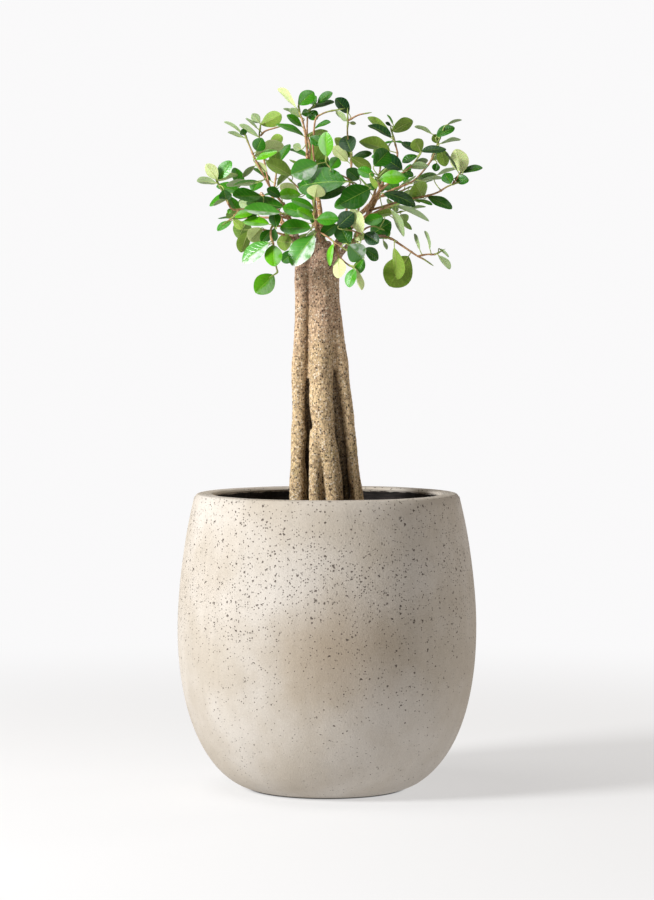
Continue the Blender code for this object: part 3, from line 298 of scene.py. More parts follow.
# The leafy stems behind, which no view of the specimen shows: limb, share of the way along it, compass
# direction of the tip in degrees from +X towards +Y, its rise in degrees, its length and its leaves.
BACK_SPRAYS = {
    "back_low_left": ("back_left", 0.62, 160, 0, 50, 6),
    "back_left": ("back_left", 0.97, 124, 6, 54, 7),
    "back_left_upper": ("back_left", 0.80, 78, 50, 56, 7),
    "back_low": ("back", 0.60, 100, -12, 60, 6),
    "back_mid": ("back", 0.95, 84, 26, 54, 8),
    "back_upper": ("back", 0.78, 110, 62, 60, 8),
    "back_right": ("back_right", 0.97, 50, 12, 54, 8),
    "back_right_upper": ("back_right", 0.80, 62, 58, 60, 8),
    "back_low_right": ("back_right", 0.55, 30, 8, 58, 7),
}
BACK_LEAF_ANGLE = 56
BACK_LEAF_SPACING = 7.5
SPIRAL_STEP = 137.5
CROWN_SEED = 11
DEPTH_SHIFTS = (0, -3, 3, -6, 6, -9, 9, -12, 12, -16, 16, -20, 20, -25, 25)
EXTRA_ROLLS = (0, 14, -14, 28)


def colour(red, green, blue):
    """A colour on the 0 to 255 scale of a screen, as light."""
    return (*Color((red / 255, green / 255, blue / 255)).from_srgb_to_scene_linear(), 1)


# The colours, as a screen shows them.
POT_PALE = colour(194, 187, 178)
POT_DULL = colour(178, 168, 154)
POT_FRONT_PATCH = colour(150, 132, 108)
POT_PIT = colour(70, 58, 50)
COAT_BLACK = colour(24, 21, 20)
COAT_WORN = colour(58, 50, 48)
BARK_TAN = colour(204, 178, 138)
BARK_GREY = colour(176, 144, 124)
BARK_YOUNG = colour(190, 146, 104)
BARK_BROWN = colour(112, 82, 64)
BARK_MOSS = colour(130, 124, 60)
BARK_SPECK = colour(240, 226, 204)
# The dark of the bark's pits, also used as painted shade in its grooves and between its stems.
BARK_PIT_AND_PAINTED_SHADE = colour(46, 32, 24)
LEAF_RIB = colour(164, 200, 84)
# The pale of the painted sheen, a highlight painted on one half of a leaf's top.
LEAF_PAINTED_SHEEN = colour(216, 228, 216)
TWIG_BROWN = colour(146, 104, 70)
TWIG_TAN = colour(202, 160, 116)
TWIG_GREEN = colour(132, 150, 70)
STALK_GREEN = colour(134, 158, 72)
STALK_PALE = colour(176, 184, 104)
SOIL_DARK = colour(34, 26, 20)
SOIL_BROWN = colour(66, 50, 38)
SOIL_CHIP = colour(112, 82, 56)
SOIL_GRAIN = colour(150, 136, 112)

# Each leaf tone's top and underside.
TONES = {
    "dark": (colour(36, 100, 8), colour(100, 132, 50)),
    "mid": (colour(58, 136, 14), colour(116, 148, 56)),
    "bright": (colour(94, 170, 18), colour(132, 166, 60)),
    "blue": (colour(26, 70, 32), colour(84, 114, 60)),
    "gloss": (colour(66, 142, 34), colour(120, 152, 74)),
    "pale": (colour(78, 152, 30), colour(198, 210, 146)),
    "olive": (colour(62, 130, 20), colour(124, 152, 56)),
    "grey": (colour(56, 120, 30), colour(146, 166, 118)),
}
TONE_SEED = 3
# Each tone's shine raises its top's specular and also sets how strongly the painted sheen shows.
SHINE = 0.08
SHINES = {"gloss": 1.0, "bright": 0.3, "mid": 0.16}

# The studio.
FLOOR_GREY = colour(166, 166, 166)
FLOOR_FADE = (0.45, 1.5)
FLOOR_GLOW = 0.53
# The width of the painted contact shadow round the planter's foot.
PAINTED_SHADOW_WIDTH = 7 * MM
SKY_TINT = (1.0, 0.9, 0.8, 1)
BACKDROP = (0.955, 0.95, 0.955, 1)
SKY_FILL = 0.24
LIGHTS = {
    "key": ((-2.35, -1.35, 1.5), 0.9, 118, (0.98, 0.99, 1.0)),
    "top": ((-0.9, -0.1, 2.6), 1.2, 16, (1.0, 0.99, 0.98)),
    "rim": ((2.2, 1.3, 0.9), 1.0, 14, (1.0, 0.93, 0.86)),
}
AIM = (0, 0, 0.36)
CAMERA_PLACE = (0, -3.4, 0.52)
CAMERA_AIM = (0, 0, 0.363)
LENS = 127.2


class Flow:
    """One output of a node. Plain arithmetic on it adds the nodes that work the result out."""

    def __init__(self, socket):
        self.socket = socket
        self.tree = socket.id_data

    def __add__(self, other):
        return formula("ADD", self, other)

    def __radd__(self, other):
        return formula("ADD", other, self)

    def __sub__(self, other):
        return formula("SUBTRACT", self, other)

    def __rsub__(self, other):
        return formula("SUBTRACT", other, self)

    def __mul__(self, other):
        if is_vector(self) and not is_vector(other):
            return formula("SCALE", self, other)
        return formula("MULTIPLY", self, other)

    def __rmul__(self, other):
        return self * other

    def __truediv__(self, other):
        return formula("DIVIDE", self, other)

    def __pow__(self, other):
        return formula("POWER", self, other)


def is_vector(value):
    """True for a node's vector output and for a plain vector."""
    if isinstance(value, Flow):
        return value.socket.type == "VECTOR"
    return isinstance(value, (tuple, Vector))


def put(socket, value):
    """Feeds a socket with another node's output or with a plain value."""
    if isinstance(value, Flow):
        socket.id_data.links.new(value.socket, socket)
    else:
        socket.default_value = value


def first_on(sockets, name=None):
    """The first socket in use, or the first with that name."""
    return next(s for s in sockets if s.enabled and name in (None, s.name))


def formula(operation, *values):
    """The result of a math node: a vector's where a value is a vector."""
    tree = next(value.tree for value in values if isinstance(value, Flow))
    vector = any(is_vector(value) for value in values)
    node = tree.nodes.new("ShaderNodeVectorMath" if vector else "ShaderNodeMath")
    node.operation = operation
    used = [socket for socket in node.inputs if socket.enabled]
    for socket, value in zip(used, values):
        put(socket, value)
    return Flow(first_on(node.outputs))


def add(tree, kind, inputs=None, **settings):
    """A new node with its settings, and with its inputs fed by name."""
    node = tree.nodes.new(kind)
    for name, value in settings.items():
        setattr(node, name, value)
    for name, value in (inputs or {}).items():
        put(first_on(node.inputs, name), value)
    return node


def result(tree, kind, inputs=None, output=None, **settings):
    """The output of a new node."""
    return Flow(first_on(add(tree, kind, inputs, **settings).outputs, output))


def smooth_step(value, low, high):
    """Rises softly from 0 at low to 1 at high."""
    return result(value.tree, "ShaderNodeMapRange", {"Value": value, "From Min": low, "From Max": high},
                  "Result", interpolation_type="SMOOTHSTEP")


def geometry_tree(name, inputs):
    """A new geometry tree with named inputs, and those inputs and the tree's end."""
    tree = bpy.data.node_groups.new(name, "GeometryNodeTree")
    tree.interface.new_socket("Geometry", in_out="INPUT", socket_type="NodeSocketGeometry")
    for label, (kind, value) in inputs.items():
        socket = tree.interface.new_socket(label, in_out="INPUT", socket_type=f"NodeSocket{kind}")
        if value is not None:
            socket.default_value = value
    tree.interface.new_socket("Geometry", in_out="OUTPUT", socket_type="NodeSocketGeometry")
    start = tree.nodes.new("NodeGroupInput")
    end = tree.nodes.new("NodeGroupOutput")
    return tree, {socket.name: Flow(socket) for socket in start.outputs if socket.name}, end


def grow(item, tree, values):
    """Runs the tree on the object with these inputs, and keeps the result as its plain mesh."""
    step = item.modifiers.new(tree.name, "NODES")
    step.node_group = tree
    for socket in tree.interface.items_tree:
        if socket.in_out == "INPUT" and socket.name in values:
            step[socket.identifier] = values[socket.name]
    return apply_modifiers(item)


def named(tree, name, kind="FLOAT"):
    """An attribute of the geometry."""
    return result(tree, "GeometryNodeInputNamedAttribute", {"Name": name}, "Attribute", data_type=kind)


def store(geometry, name, value, domain="POINT", kind="FLOAT"):
    """The geometry with a value kept on it as an attribute."""
    return result(geometry.tree, "GeometryNodeStoreNamedAttribute",
                  {"Geometry": geometry, "Name": name, "Value": value}, data_type=kind, domain=domain)


def joined(*parts):
    """Several geometries as one."""
    node = parts[0].tree.nodes.new("GeometryNodeJoinGeometry")
    for part in parts:
        put(node.inputs[0], part)
    return Flow(node.outputs[0])


def new_look(name, roughness):
    """A new material, its Principled shader and its Object coordinates."""
    look = bpy.data.materials.new(name)
    look.use_nodes = True
    tree = look.node_tree
    shader = tree.nodes["Principled BSDF"]
    shader.inputs["Roughness"].default_value = roughness
    place = result(tree, "ShaderNodeTexCoord", output="Object")
    return look, tree, shader, place


def noise_at(place, scale, detail=3.0, roughness=0.55, stretch=None):
    """Soft noise from 0 to 1 at a place. Scale is in features per metre, and stretch thins them."""
    if stretch:
        place = place * stretch
    return result(place.tree, "ShaderNodeTexNoise", {
        "Vector": place, "Scale": scale, "Detail": detail, "Roughness": roughness}, "Fac")


def cells(place, scale, output="Distance"):
    """The distance from the nearest of scattered points, or that point's own chance colour."""
    return result(place.tree, "ShaderNodeTexVoronoi", {"Vector": place, "Scale": scale}, output)


def chance_of(cell_colour):
    """The chance number, 0 to 1, of a cell, from its chance colour."""
    return result(cell_colour.tree, "ShaderNodeSeparateColor", {"Color": cell_colour}, "Red")


def blend(share, first, second, how="MIX"):
    """A colour between two colours."""
    tree = next(value.tree for value in (share, first, second) if isinstance(value, Flow))
    node = tree.nodes.new("ShaderNodeMix")
    node.data_type = "RGBA"
    node.blend_type = how
    used = [socket for socket in node.inputs if socket.enabled]
    for socket, value in zip(used, (share, first, second)):
        put(socket, value)
    return Flow(first_on(node.outputs))


def shaded(tone, share):
    """A colour made darker or lighter by a number round 1."""
    grey = result(share.tree, "ShaderNodeCombineColor", {"Red": share, "Green": share, "Blue": share})
    return blend(1.0, tone, grey, "MULTIPLY")


def bumped(shader, height, depth, strength=1.0, base=None):
    """Gives the shader relief of that depth in metres, over an earlier relief."""
    inputs = {"Height": height, "Distance": depth, "Strength": strength}
    if base:
        inputs["Normal"] = base
    relief = result(height.tree, "ShaderNodeBump", inputs, "Normal")
    put(shader.inputs["Normal"], relief)
    return relief


def parts_of(place):
    """The three coordinates of a place."""
    split = add(place.tree, "ShaderNodeSeparateXYZ", {"Vector": place})
    return [Flow(socket) for socket in split.outputs]


def pinholes(place, spacing, largest, share, where):
    """A mask of small uneven pits: 1 in a pit. About that share of the cells has one."""
    jitter = result(place.tree, "ShaderNodeTexNoise", {
        "Vector": place, "Scale": 2.6 / spacing, "Detail": 2.0}, "Color")
    bent = formula("ADD", place, vector_of(jitter) * (0.75 * spacing))
    chance = chance_of(cells(bent, 1 / spacing, "Color"))
    radius = smooth_step(chance + where, 1 - share, 1.35 - share / 2) * largest / spacing
    return smooth_step(radius - cells(bent, 1 / spacing), 0.0, 0.08)


def vector_of(tone):
    """A colour as a vector."""
    split = add(tone.tree, "ShaderNodeSeparateColor", {"Color": tone})
    red, green, blue = [Flow(socket) for socket in split.outputs]
    return result(tone.tree, "ShaderNodeCombineXYZ", {"X": red, "Y": green, "Z": blue})


def concrete_look():
    """Cast concrete: pale, clouded and streaked, with pinholes, and a black coat inside."""
    look, tree, shader, place = new_look("concrete", 0.86)
    x, y, z = parts_of(place)
    radius = formula("SQRT", x * x + y * y)
    clouds = noise_at(place, 9, 5)
    streaks = noise_at(place, 1, 3, stretch=(95, 95, 9))
    grain = noise_at(place, 850, 4, 0.75)
    sand = noise_at(place, 330, 3, 0.7)
    tone = blend(smooth_step(clouds, 0.34, 0.68), POT_DULL, POT_PALE)
    # A darker brown patch on the planter's front, round the height of its belly.
    off = formula("LENGTH", place - (0.012, -0.158, 0.165)) + (clouds - 0.5) * 0.06
    tone = blend(smooth_step(0.105 - off, 0.0, 0.105) * 0.75, tone, POT_FRONT_PATCH)
    tone = shaded(tone, streaks * 0.16 + 0.92)
    tone = shaded(tone, grain * 0.34 + 0.83)
    upper = smooth_step(z, 0.05, 0.24) * 0.26
    patches = (noise_at(place, 17, 2) - 0.5) * 0.5
    large = pinholes(place, 4.6 * MM, 1.35 * MM, 0.30, upper + patches)
    small = pinholes(place, 2.3 * MM, 0.75 * MM, 0.38, upper + patches)
    pits = formula("MAXIMUM", large, small)
    tone = blend(pits * 0.85, tone, POT_PIT)
    edge = noise_at(place, 55, 4) * 5 * MM + z
    inside = smooth_step(0.1305 - radius, 0.0, 0.4 * MM) * smooth_step(z, 0.17, 0.18)
    coated = inside * smooth_step((POT_HEIGHT - 1.8 * MM) - edge, 0.0, 0.8 * MM)
    brushed = noise_at(place, 1, 4, stretch=(60, 60, 520))
    coat = blend(smooth_step(brushed, 0.4, 0.75), COAT_BLACK, COAT_WORN)
    put(shader.inputs["Base Color"], blend(coated, tone, coat))
    put(shader.inputs["Roughness"], blend_number(coated, grain * 0.12 + 0.8, brushed * 0.4 + 0.35))
    waves = bumped(shader, noise_at(place, 60, 3), 0.5 * MM, 0.5)
    rough = bumped(shader, sand * (upper + 0.5), 0.9 * MM, 0.8, waves)
    fine = bumped(shader, grain, 0.35 * MM, 0.9, rough)
    bumped(shader, 1.0 - pits, 0.9 * MM, 1.0, fine)
    return look


def blend_number(share, first, second):
    """A number between two numbers."""
    return first + (second - first) * share


def bark_look():
    """Fig bark: tan and mottled, fine-grained, greyer near the crown, with painted shade darkening its grooves and the
    gaps between its stems.
    """
    look, tree, shader, place = new_look("bark", 0.84)
    x, y, z = parts_of(place)
    hollow = result(tree, "ShaderNodeAttribute", output="Fac", attribute_name="hollow")
    high = smooth_step(z + (noise_at(place, 24, 2) - 0.5) * 0.12, 0.40, 0.60)
    tone = blend(high, BARK_TAN, BARK_GREY)
    tone = blend(smooth_step(z, 0.59, 0.61), tone, BARK_YOUNG)
    mottle = noise_at(place, 260, 5, 0.7)
    tone = blend(smooth_step(mottle, 0.47, 0.62) * 0.55, tone, BARK_BROWN)
    green = smooth_step(noise_at(place, 34, 3), 0.52, 0.7) * smooth_step(0.56 - z, 0.0, 0.3)
    tone = blend(green * 0.35, tone, BARK_MOSS)
    wrinkles = noise_at(place, 1, 4, 0.7, stretch=(620, 620, 340))
    tone = shaded(tone, smooth_step(wrinkles, 0.30, 0.66) * 0.95 + 0.45)
    specks = pinholes(place, 2.0 * MM, 1.1 * MM, 0.5, 0.1)
    tone = blend(specks * 0.8, tone, BARK_SPECK)
    pits = pinholes(place + (0.3, 0.1, 0.7), 2.0 * MM, 1.1 * MM, 0.5, 0.05)
    tone = blend(pits * 0.9, tone, BARK_PIT_AND_PAINTED_SHADE)
    # Painted shade: darkens the bark where the trunk closes in on itself, in grooves and between stems.
    tone = blend(smooth_step(hollow, 0.3, 0.85) * 0.93, tone, BARK_PIT_AND_PAINTED_SHADE)
    put(shader.inputs["Base Color"], tone)
    shader.inputs["Specular IOR Level"].default_value = 0.25
    coarse = bumped(shader, mottle, 1.6 * MM, 0.55)
    fine = bumped(shader, wrinkles, 1.1 * MM, 0.8, coarse)
    bumped(shader, specks - pits, 0.45 * MM, 0.9, fine)
    return look


def vein_mask(tree, width):
    """The veins of a blade from its map: the midrib, and side veins that curve towards the tip."""
    across, along, _ = parts_of(result(tree, "ShaderNodeUVMap", output="UV", uv_map="UVMap"))
    out = formula("ABSOLUTE", across - 0.5) * 2
    midrib = smooth_step(0.05 - out, 0.0, 0.04)
    ladder = formula("FRACT", along * 9.0 - out * 2.1 + out * out * 0.7)
    side = smooth_step(width - formula("ABSOLUTE", ladder - 0.5), 0.0, width)
    return midrib, side * smooth_step(0.97 - out, 0.0, 0.25)


def leaf_top_look():
    """The glossy upper face of a leaf, in the leaf's own green, with a pale midrib and a painted sheen, a pale
    highlight on one half of the blade.
    """
    look, tree, shader, place = new_look("leaf_top", 0.3)
    tint = result(tree, "ShaderNodeAttribute", output="Color", attribute_name="tint")
    shine = result(tree, "ShaderNodeAttribute", output="Fac", attribute_name="shine")
    midrib, side = vein_mask(tree, 0.16)
    across, along, _ = parts_of(result(tree, "ShaderNodeUVMap", output="UV", uv_map="UVMap"))
    tone = shaded(tint, noise_at(place, 160, 3) * 0.5 + 0.75)
    # Painted sheen: a pale highlight painted on the blade's one half, as strong as the leaf's shine.
    painted_sheen_mask = smooth_step(0.52 - across, 0.0, 0.2) * smooth_step(noise_at(place, 120, 3), 0.3, 0.6)
    tone = blend(painted_sheen_mask * shine * 0.8, tone, LEAF_PAINTED_SHEEN)
    tone = blend(midrib * 0.55, tone, LEAF_RIB)
    tone = blend(side * 0.10, tone, LEAF_RIB)
    put(shader.inputs["Base Color"], tone)
    put(shader.inputs["Roughness"], noise_at(place, 90, 2) * 0.22 + 0.2)
    put(shader.inputs["Specular IOR Level"], shine * 0.5 + 0.24)
    shader.inputs["Subsurface Weight"].default_value = 0.12
    shader.inputs["Subsurface Radius"].default_value = (0.4, 1.0, 0.15)
    shader.inputs["Subsurface Scale"].default_value = 2 * MM
    blisters = bumped(shader, noise_at(place, 260, 2), 0.5 * MM, 0.35)
    bumped(shader, 1.0 - (side * 0.6 + midrib), 0.25 * MM, 0.7, blisters)
    return look


def leaf_under_look():
    """The matt, paler underside of a leaf, with a net of veins."""
    look, tree, shader, place = new_look("leaf_underside", 0.55)
    tint = result(tree, "ShaderNodeAttribute", output="Color", attribute_name="under")
    midrib, side = vein_mask(tree, 0.14)
    net = smooth_step(cells(place, 700), 0.3, 0.8)
    tone = shaded(tint, noise_at(place, 140, 3) * 0.3 + 0.85)
    tone = shaded(tone, net * 0.16 + 0.92)
    tone = blend(side * 0.22 + midrib * 0.5, tone, LEAF_RIB)
    put(shader.inputs["Base Color"], tone)
    shader.inputs["Specular IOR Level"].default_value = 0.3
    shader.inputs["Subsurface Weight"].default_value = 0.12
    shader.inputs["Subsurface Radius"].default_value = (0.4, 1.0, 0.15)
    shader.inputs["Subsurface Scale"].default_value = 2 * MM
    raised = bumped(shader, side * 0.6 + midrib, 0.3 * MM, 0.8)
    bumped(shader, net, 0.12 * MM, 0.6, raised)
    return look


def twig_look():
    """Young bark: tan-brown with pale specks, and green towards the tip."""
    look, tree, shader, place = new_look("twig", 0.6)
    age = result(tree, "ShaderNodeAttribute", output="Fac", attribute_name="age")
    blotches = noise_at(place, 240, 3, 0.65)
    tone = blend(smooth_step(blotches, 0.35, 0.7), TWIG_BROWN, TWIG_TAN)
    tone = blend(smooth_step(age + (blotches - 0.5) * 0.3, 0.72, 0.98), tone, TWIG_GREEN)
    specks = pinholes(place, 2.1 * MM, 0.6 * MM, 0.4, 0.0)
    put(shader.inputs["Base Color"], blend(specks * 0.4, tone, BARK_SPECK))
    rough = bumped(shader, blotches, 0.5 * MM, 0.7)
    bumped(shader, specks, 0.2 * MM, 0.8, rough)
    return look


def stalk_look():
    """The smooth yellow-green stalk and underside rib of a leaf."""
    look, tree, shader, place = new_look("leaf_stalk", 0.42)
    tone = blend(noise_at(place, 200, 2), STALK_GREEN, STALK_PALE)
    put(shader.inputs["Base Color"], tone)
    bumped(shader, noise_at(place, 900, 2), 0.1 * MM, 0.5)
    return look


def soil_look():
    """Dark, fibrous potting mix with a few pale grains."""
    look, tree, shader, place = new_look("potting_mix", 0.93)
    clumps = noise_at(place, 130, 5, 0.7)
    tone = blend(smooth_step(clumps, 0.35, 0.7), SOIL_DARK, SOIL_BROWN)
    grains = pinholes(place, 6 * MM, 1.6 * MM, 0.16, 0.0)
    put(shader.inputs["Base Color"], blend(grains * 0.7, tone, SOIL_GRAIN))
    coarse = bumped(shader, clumps, 2.5 * MM, 0.9)
    bumped(shader, noise_at(place, 900, 3, 0.7), 0.6 * MM, 0.8, coarse)
    return look


def crumb_look():
    """The loose crumbs of bark and peat on the potting mix, each a little different."""
    look, tree, shader, place = new_look("soil_crumbs", 0.9)
    shade = result(tree, "ShaderNodeAttribute", output="Fac", attribute_name="shade")
    tone = blend(shade, SOIL_DARK, SOIL_CHIP)
    tone = shaded(tone, noise_at(place, 700, 3) * 0.8 + 0.6)
    put(shader.inputs["Base Color"], tone)
    bumped(shader, noise_at(place, 1200, 3), 0.3 * MM, 0.8)
    return look


def floor_look():
    """A pale studio floor that fades into the backdrop, with a painted contact shadow where the planter's foot meets
    it.
    """
    look, tree, shader, place = new_look("studio_floor", 0.9)
    x, y, z = parts_of(place)
    away = formula("SQRT", x * x + y * y)
    far = smooth_step(away, FLOOR_FADE[0], FLOOR_FADE[1])
    # Painted contact shadow: the floor's colour and glow fade to nothing at the planter's foot.
    clear_of_painted_shadow = smooth_step(away, FOOT_RADIUS, FOOT_RADIUS + PAINTED_SHADOW_WIDTH)
    put(shader.inputs["Base Color"], blend(far, shaded(FLOOR_GREY, clear_of_painted_shadow), (0, 0, 0, 1)))
    shader.inputs["Specular IOR Level"].default_value = 0.0
    shader.inputs["Emission Color"].default_value = BACKDROP
    put(shader.inputs["Emission Strength"], blend_number(far, clear_of_painted_shadow * FLOOR_GLOW, 1.0))
    return look


def smooth_route(points, step=ROUTE_STEP):
    """Points every step or so along a smooth curve through the given points, radii too."""
    ends = [tuple(2 * a - b for a, b in zip(points[0], points[1])), *points,
            tuple(2 * a - b for a, b in zip(points[-1], points[-2]))]
    found = []
    for i in range(1, len(ends) - 2):
        corners = ends[i - 1:i + 3]
        pieces = max(1, round(math.dist(corners[1][:3], corners[2][:3]) * MM / step))
        for k in range(pieces):
            t = k / pieces
            found.append(tuple(
                0.5 * (2 * b + (c - a) * t + (2 * a - 5 * b + 4 * c - d) * t * t
                       + (3 * b - a - 3 * c + d) * t**3)
                for a, b, c, d in zip(*corners)))
    found.append(tuple(points[-1]))
    return found


def in_space(x, y, z):
    """The place in metres of what the viewer sees at x and z, and which lies at depth y."""
    nearer = 1 + y / EYE_DISTANCE
    return Vector((x * nearer, y, EYE_HEIGHT + (z - EYE_HEIGHT) * nearer)) * MM


def half_width(along):
    """The blade's half width at a share of its length, as a share of its greatest half width."""
    return math.sin(math.pi * along**BLADE_LEAN) ** BLADE_FULLNESS if 0 < along < 1 else 0.0


def draw_chances(draw):
    """The small differences of one leaf. Every leaf takes the same number of draws."""
    return {
        "share": draw.uniform(0.62, 0.78), "arch": draw.uniform(0.02, 0.09),
        "fold": draw.uniform(0.02, 0.22), "wave": draw.uniform(-0.02, 0.02),
        "phase": draw.uniform(0, 2 * math.pi), "lean": draw.uniform(-24, 24),
    }


def leaf_of(owner, attach, base, direction, normal, size, chance, tone):
    """All that sets one leaf: where its stalk joins, the frame of its blade, its size and bend."""
    return {"owner": owner, "attach": attach, "base": base, "direction": direction,
            "normal": normal, "side": direction.cross(normal), "length": size[0],
            "width": size[1], "tone": tone, **chance}


def blade_point(leaf, along, across):
    """A point of the blade's middle surface: along runs 0 to 1 to the tip, across -1 to 1."""
    half = leaf["width"] / 2 * half_width(along) if along > 0 else STALK_HALF
    arch = 4 * leaf["arch"] * leaf["length"] * along * (1 - along)
    fold = leaf["fold"] * half * (abs(across) - 0.5) if 0 < along < 1 else 0
    wave = leaf["wave"] * leaf["length"] * math.sin(9 * along + leaf["phase"]) * abs(across) * across
    return (leaf["base"] + leaf["direction"] * leaf["length"] * along + leaf["side"] * half * across
            + leaf["normal"] * (arch + fold + wave * half_width(along)))


def across_stalk(leaf):
    """The direction across the stalk that turns least from the blade's side."""
    stalk = (leaf["base"] - leaf["attach"]).normalized()
    across = leaf["side"] - stalk * leaf["side"].dot(stalk)
    if across.length < 0.35:
        across = leaf["normal"] - stalk * leaf["normal"].dot(stalk)
    return across.normalized()


def leaf_rows(leaf, stations, root_share=0.0):
    """The two edges of the leaf, row by row, from a share of its stalk to its tip."""
    root = leaf["attach"].lerp(leaf["base"], root_share)
    across = across_stalk(leaf) * STALK_HALF
    return [(root - across, root + across)] + [
        (blade_point(leaf, at, -1), blade_point(leaf, at, 1)) for at in stations]


def hull_of(rows, normal):
    """A search tree of the rows, as thick as the blade and swollen by the clearance."""
    lift = normal * (BLADE_THICKNESS / 2 + CLEARANCE)
    points = []
    for left, right in rows:
        width = right - left
        out = width.normalized() * CLEARANCE if width.length > STALK_HALF / 10 else Vector()
        points += [left - out + lift, right + out + lift, right + out - lift, left - out - lift]
    faces = [(0, 1, 2, 3), tuple(range(len(points) - 4, len(points)))]
    for first in range(0, len(points) - 4, 4):
        faces += [(first + k, first + (k + 1) % 4, first + 4 + (k + 1) % 4, first + 4 + k)
                  for k in range(4)]
    return BVHTree.FromPolygons(points, faces)


def nearest_joint(lines, x, z, direction):
    """The point of the twigs where a stalk to x, z would join them with the least reach and bend."""
    place = Vector((x, z)) * MM
    heading = Vector((direction.x, direction.z)).normalized()
    best = None
    for line in lines:
        skipped = round(ROOT_LENGTH / ROUTE_STEP) if line is lines[0] else 1
        for point in line[skipped:]:
            reach = place - Vector((point.x, point.z))
            if reach.length < SHORTEST_STALK:
                continue
            cost = reach.length + STALK_BEND_COST * (1 - reach.normalized().dot(heading))
            if best is None or cost < best[0]:
                best = (cost, point)
    return best[1]


def seen_leaf(owner, row, lines, chance, shift, extra_roll):
    """A leaf that the viewer sees from its base to its tip, at its seen width and on its seen face."""
    base_x, base_z, tip_x, tip_z, behind, seen_width, tone = row
    seen_length = math.dist((base_x, base_z), (tip_x, tip_z))
    lean = math.radians(chance["lean"])
    length = seen_length / math.cos(lean)
    if seen_width > chance["share"] * length:
        length = seen_width / chance["share"]
        lean = math.copysign(math.acos(min(1, seen_length / length)), lean)
    width = chance["share"] * length
    roll = math.acos(min(1, seen_width / width)) + math.radians(extra_roll)
    direction = Vector(((tip_x - base_x) / seen_length * math.cos(lean), math.sin(lean),
                        (tip_z - base_z) / seen_length * math.cos(lean)))
    facing = (Vector((0, -1, 0)) + direction * direction.y).normalized()
    level = direction.cross(facing)
    if level.z < -0.15 or (level.z <= 0.15 and level.x * (base_x + tip_x) < 0):
        level.negate()
    shown = -1 if tone in UNDERSIDE_TONES else 1
    normal = (facing * shown * math.cos(roll) + level * math.sin(roll)).normalized()
    attach = nearest_joint(lines, base_x, base_z, direction)
    depth = attach.y / MM + behind + shift - length * math.sin(lean) / 2
    return leaf_of(owner, attach, in_space(base_x, depth, base_z), direction, normal,
                   (length * MM, width * MM), chance, tone)


def spiral_leaf(owner, line, number, chance, shift, extra_roll):
    """A leaf of a stem at the back, in its place on the spiral round the twig."""
    back = round(BACK_LEAF_SPACING * MM * max(0, number - 1) / ROUTE_STEP)
    attach = line[len(line) - 1 - back]
    along = (line[-1] - line[-4]).normalized()
    level = along.cross(Vector((0, 0, 1))).normalized()
    turn = math.radians(SPIRAL_STEP * number + 3 * shift)
    outward = level * math.cos(turn) + along.cross(level) * math.sin(turn)
    bend = math.radians(BACK_LEAF_ANGLE * (0.4 if number == 0 else 1))
    direction = (along * math.cos(bend) + outward * math.sin(bend)).normalized()
    up = Vector((0, 0, 1)) - direction * direction.z
    tilt = math.radians(extra_roll) + chance["lean"] / 40
    normal = (up.normalized() * math.cos(tilt)
              + up.normalized().cross(direction) * math.sin(tilt)).normalized()
    length = (19 + 10 * (chance["share"] - 0.62) / 0.16) * MM
    return leaf_of(owner, attach, attach + direction * 6 * MM, direction, normal,
                   (length, length * chance["share"]), chance, "mid" if number % 3 else "dark")


def back_twig(limb, share, compass, rise, length):
    """The route of a stem at the back: it leaves its limb level and then bends up."""
    line = smooth_route(LIMBS[limb])
    start = Vector(line[round(share * (len(line) - 1))][:3])
    way = Vector((math.cos(math.radians(compass)), math.sin(math.radians(compass)), 0))
    lift = Vector((0, 0, math.tan(math.radians(rise))))
    return tuple(tuple(start + (way + lift * (0.4 + 0.6 * k)).normalized() * length * k)
                 for k in (0, 0.35, 0.7, 1))


def twig_radii(count, main):
    """Radii that taper from a twig's root to its tip."""
    root, tip = TWIG_RADII if main else SIDE_TWIG_RADII
    return [root + (tip - root) * k / max(1, count - 1) for k in range(count)]


def plan_twigs():
    """The twigs of every leafy stem in metres, as fine lines of points, the front ones first."""
    plan = {name: [[in_space(*p) for p in smooth_route(route)] for route in twigs]
            for name, (twigs, _) in SPRAYS.items()}
    for name, (limb, share, compass, rise, length, _) in BACK_SPRAYS.items():
        route = back_twig(limb, share, compass, rise, length)
        plan[name] = [[Vector(p) * MM for p in smooth_route(route)]]
    return plan


def wood_search(plan):
    """A search tree of points along all the wood, with each point's radius and owner."""
    wood = [(Vector(p[:3]) * MM, p[3] * MM, "trunk") for route in (*STEMS.values(), *LIMBS.values())
            for p in smooth_route(route)]
    for name, lines in plan.items():
        for line in lines:
            wood += [(point, radius, name)
                     for point, radius in zip(line, twig_radii(len(line), line is lines[0]))]
    tree = KDTree(len(wood))
    for number, (point, _, _) in enumerate(wood):
        tree.insert(point, number)
    tree.balance()
    return tree, wood


def clear_of_wood(leaf, tree, wood):
    """True if the stalk's outer part and the blade stay off all wood but the leaf's own twigs."""
    samples = [leaf["attach"].lerp(leaf["base"], share) for share in (0.4, 0.7)]
    for along in (0.05, 0.2, 0.35, 0.5, 0.65, 0.8, 0.95):
        samples += [blade_point(leaf, along, across) for across in (-1, -0.5, 0, 0.5, 1)]
    for sample in samples:
        for _, number, distance in tree.find_range(sample, THICKEST_WOOD):
            _, radius, owner = wood[number]
            if owner != leaf["owner"] and distance < radius + BLADE_THICKNESS / 2 + 2 * CLEARANCE:
                return False
    return True


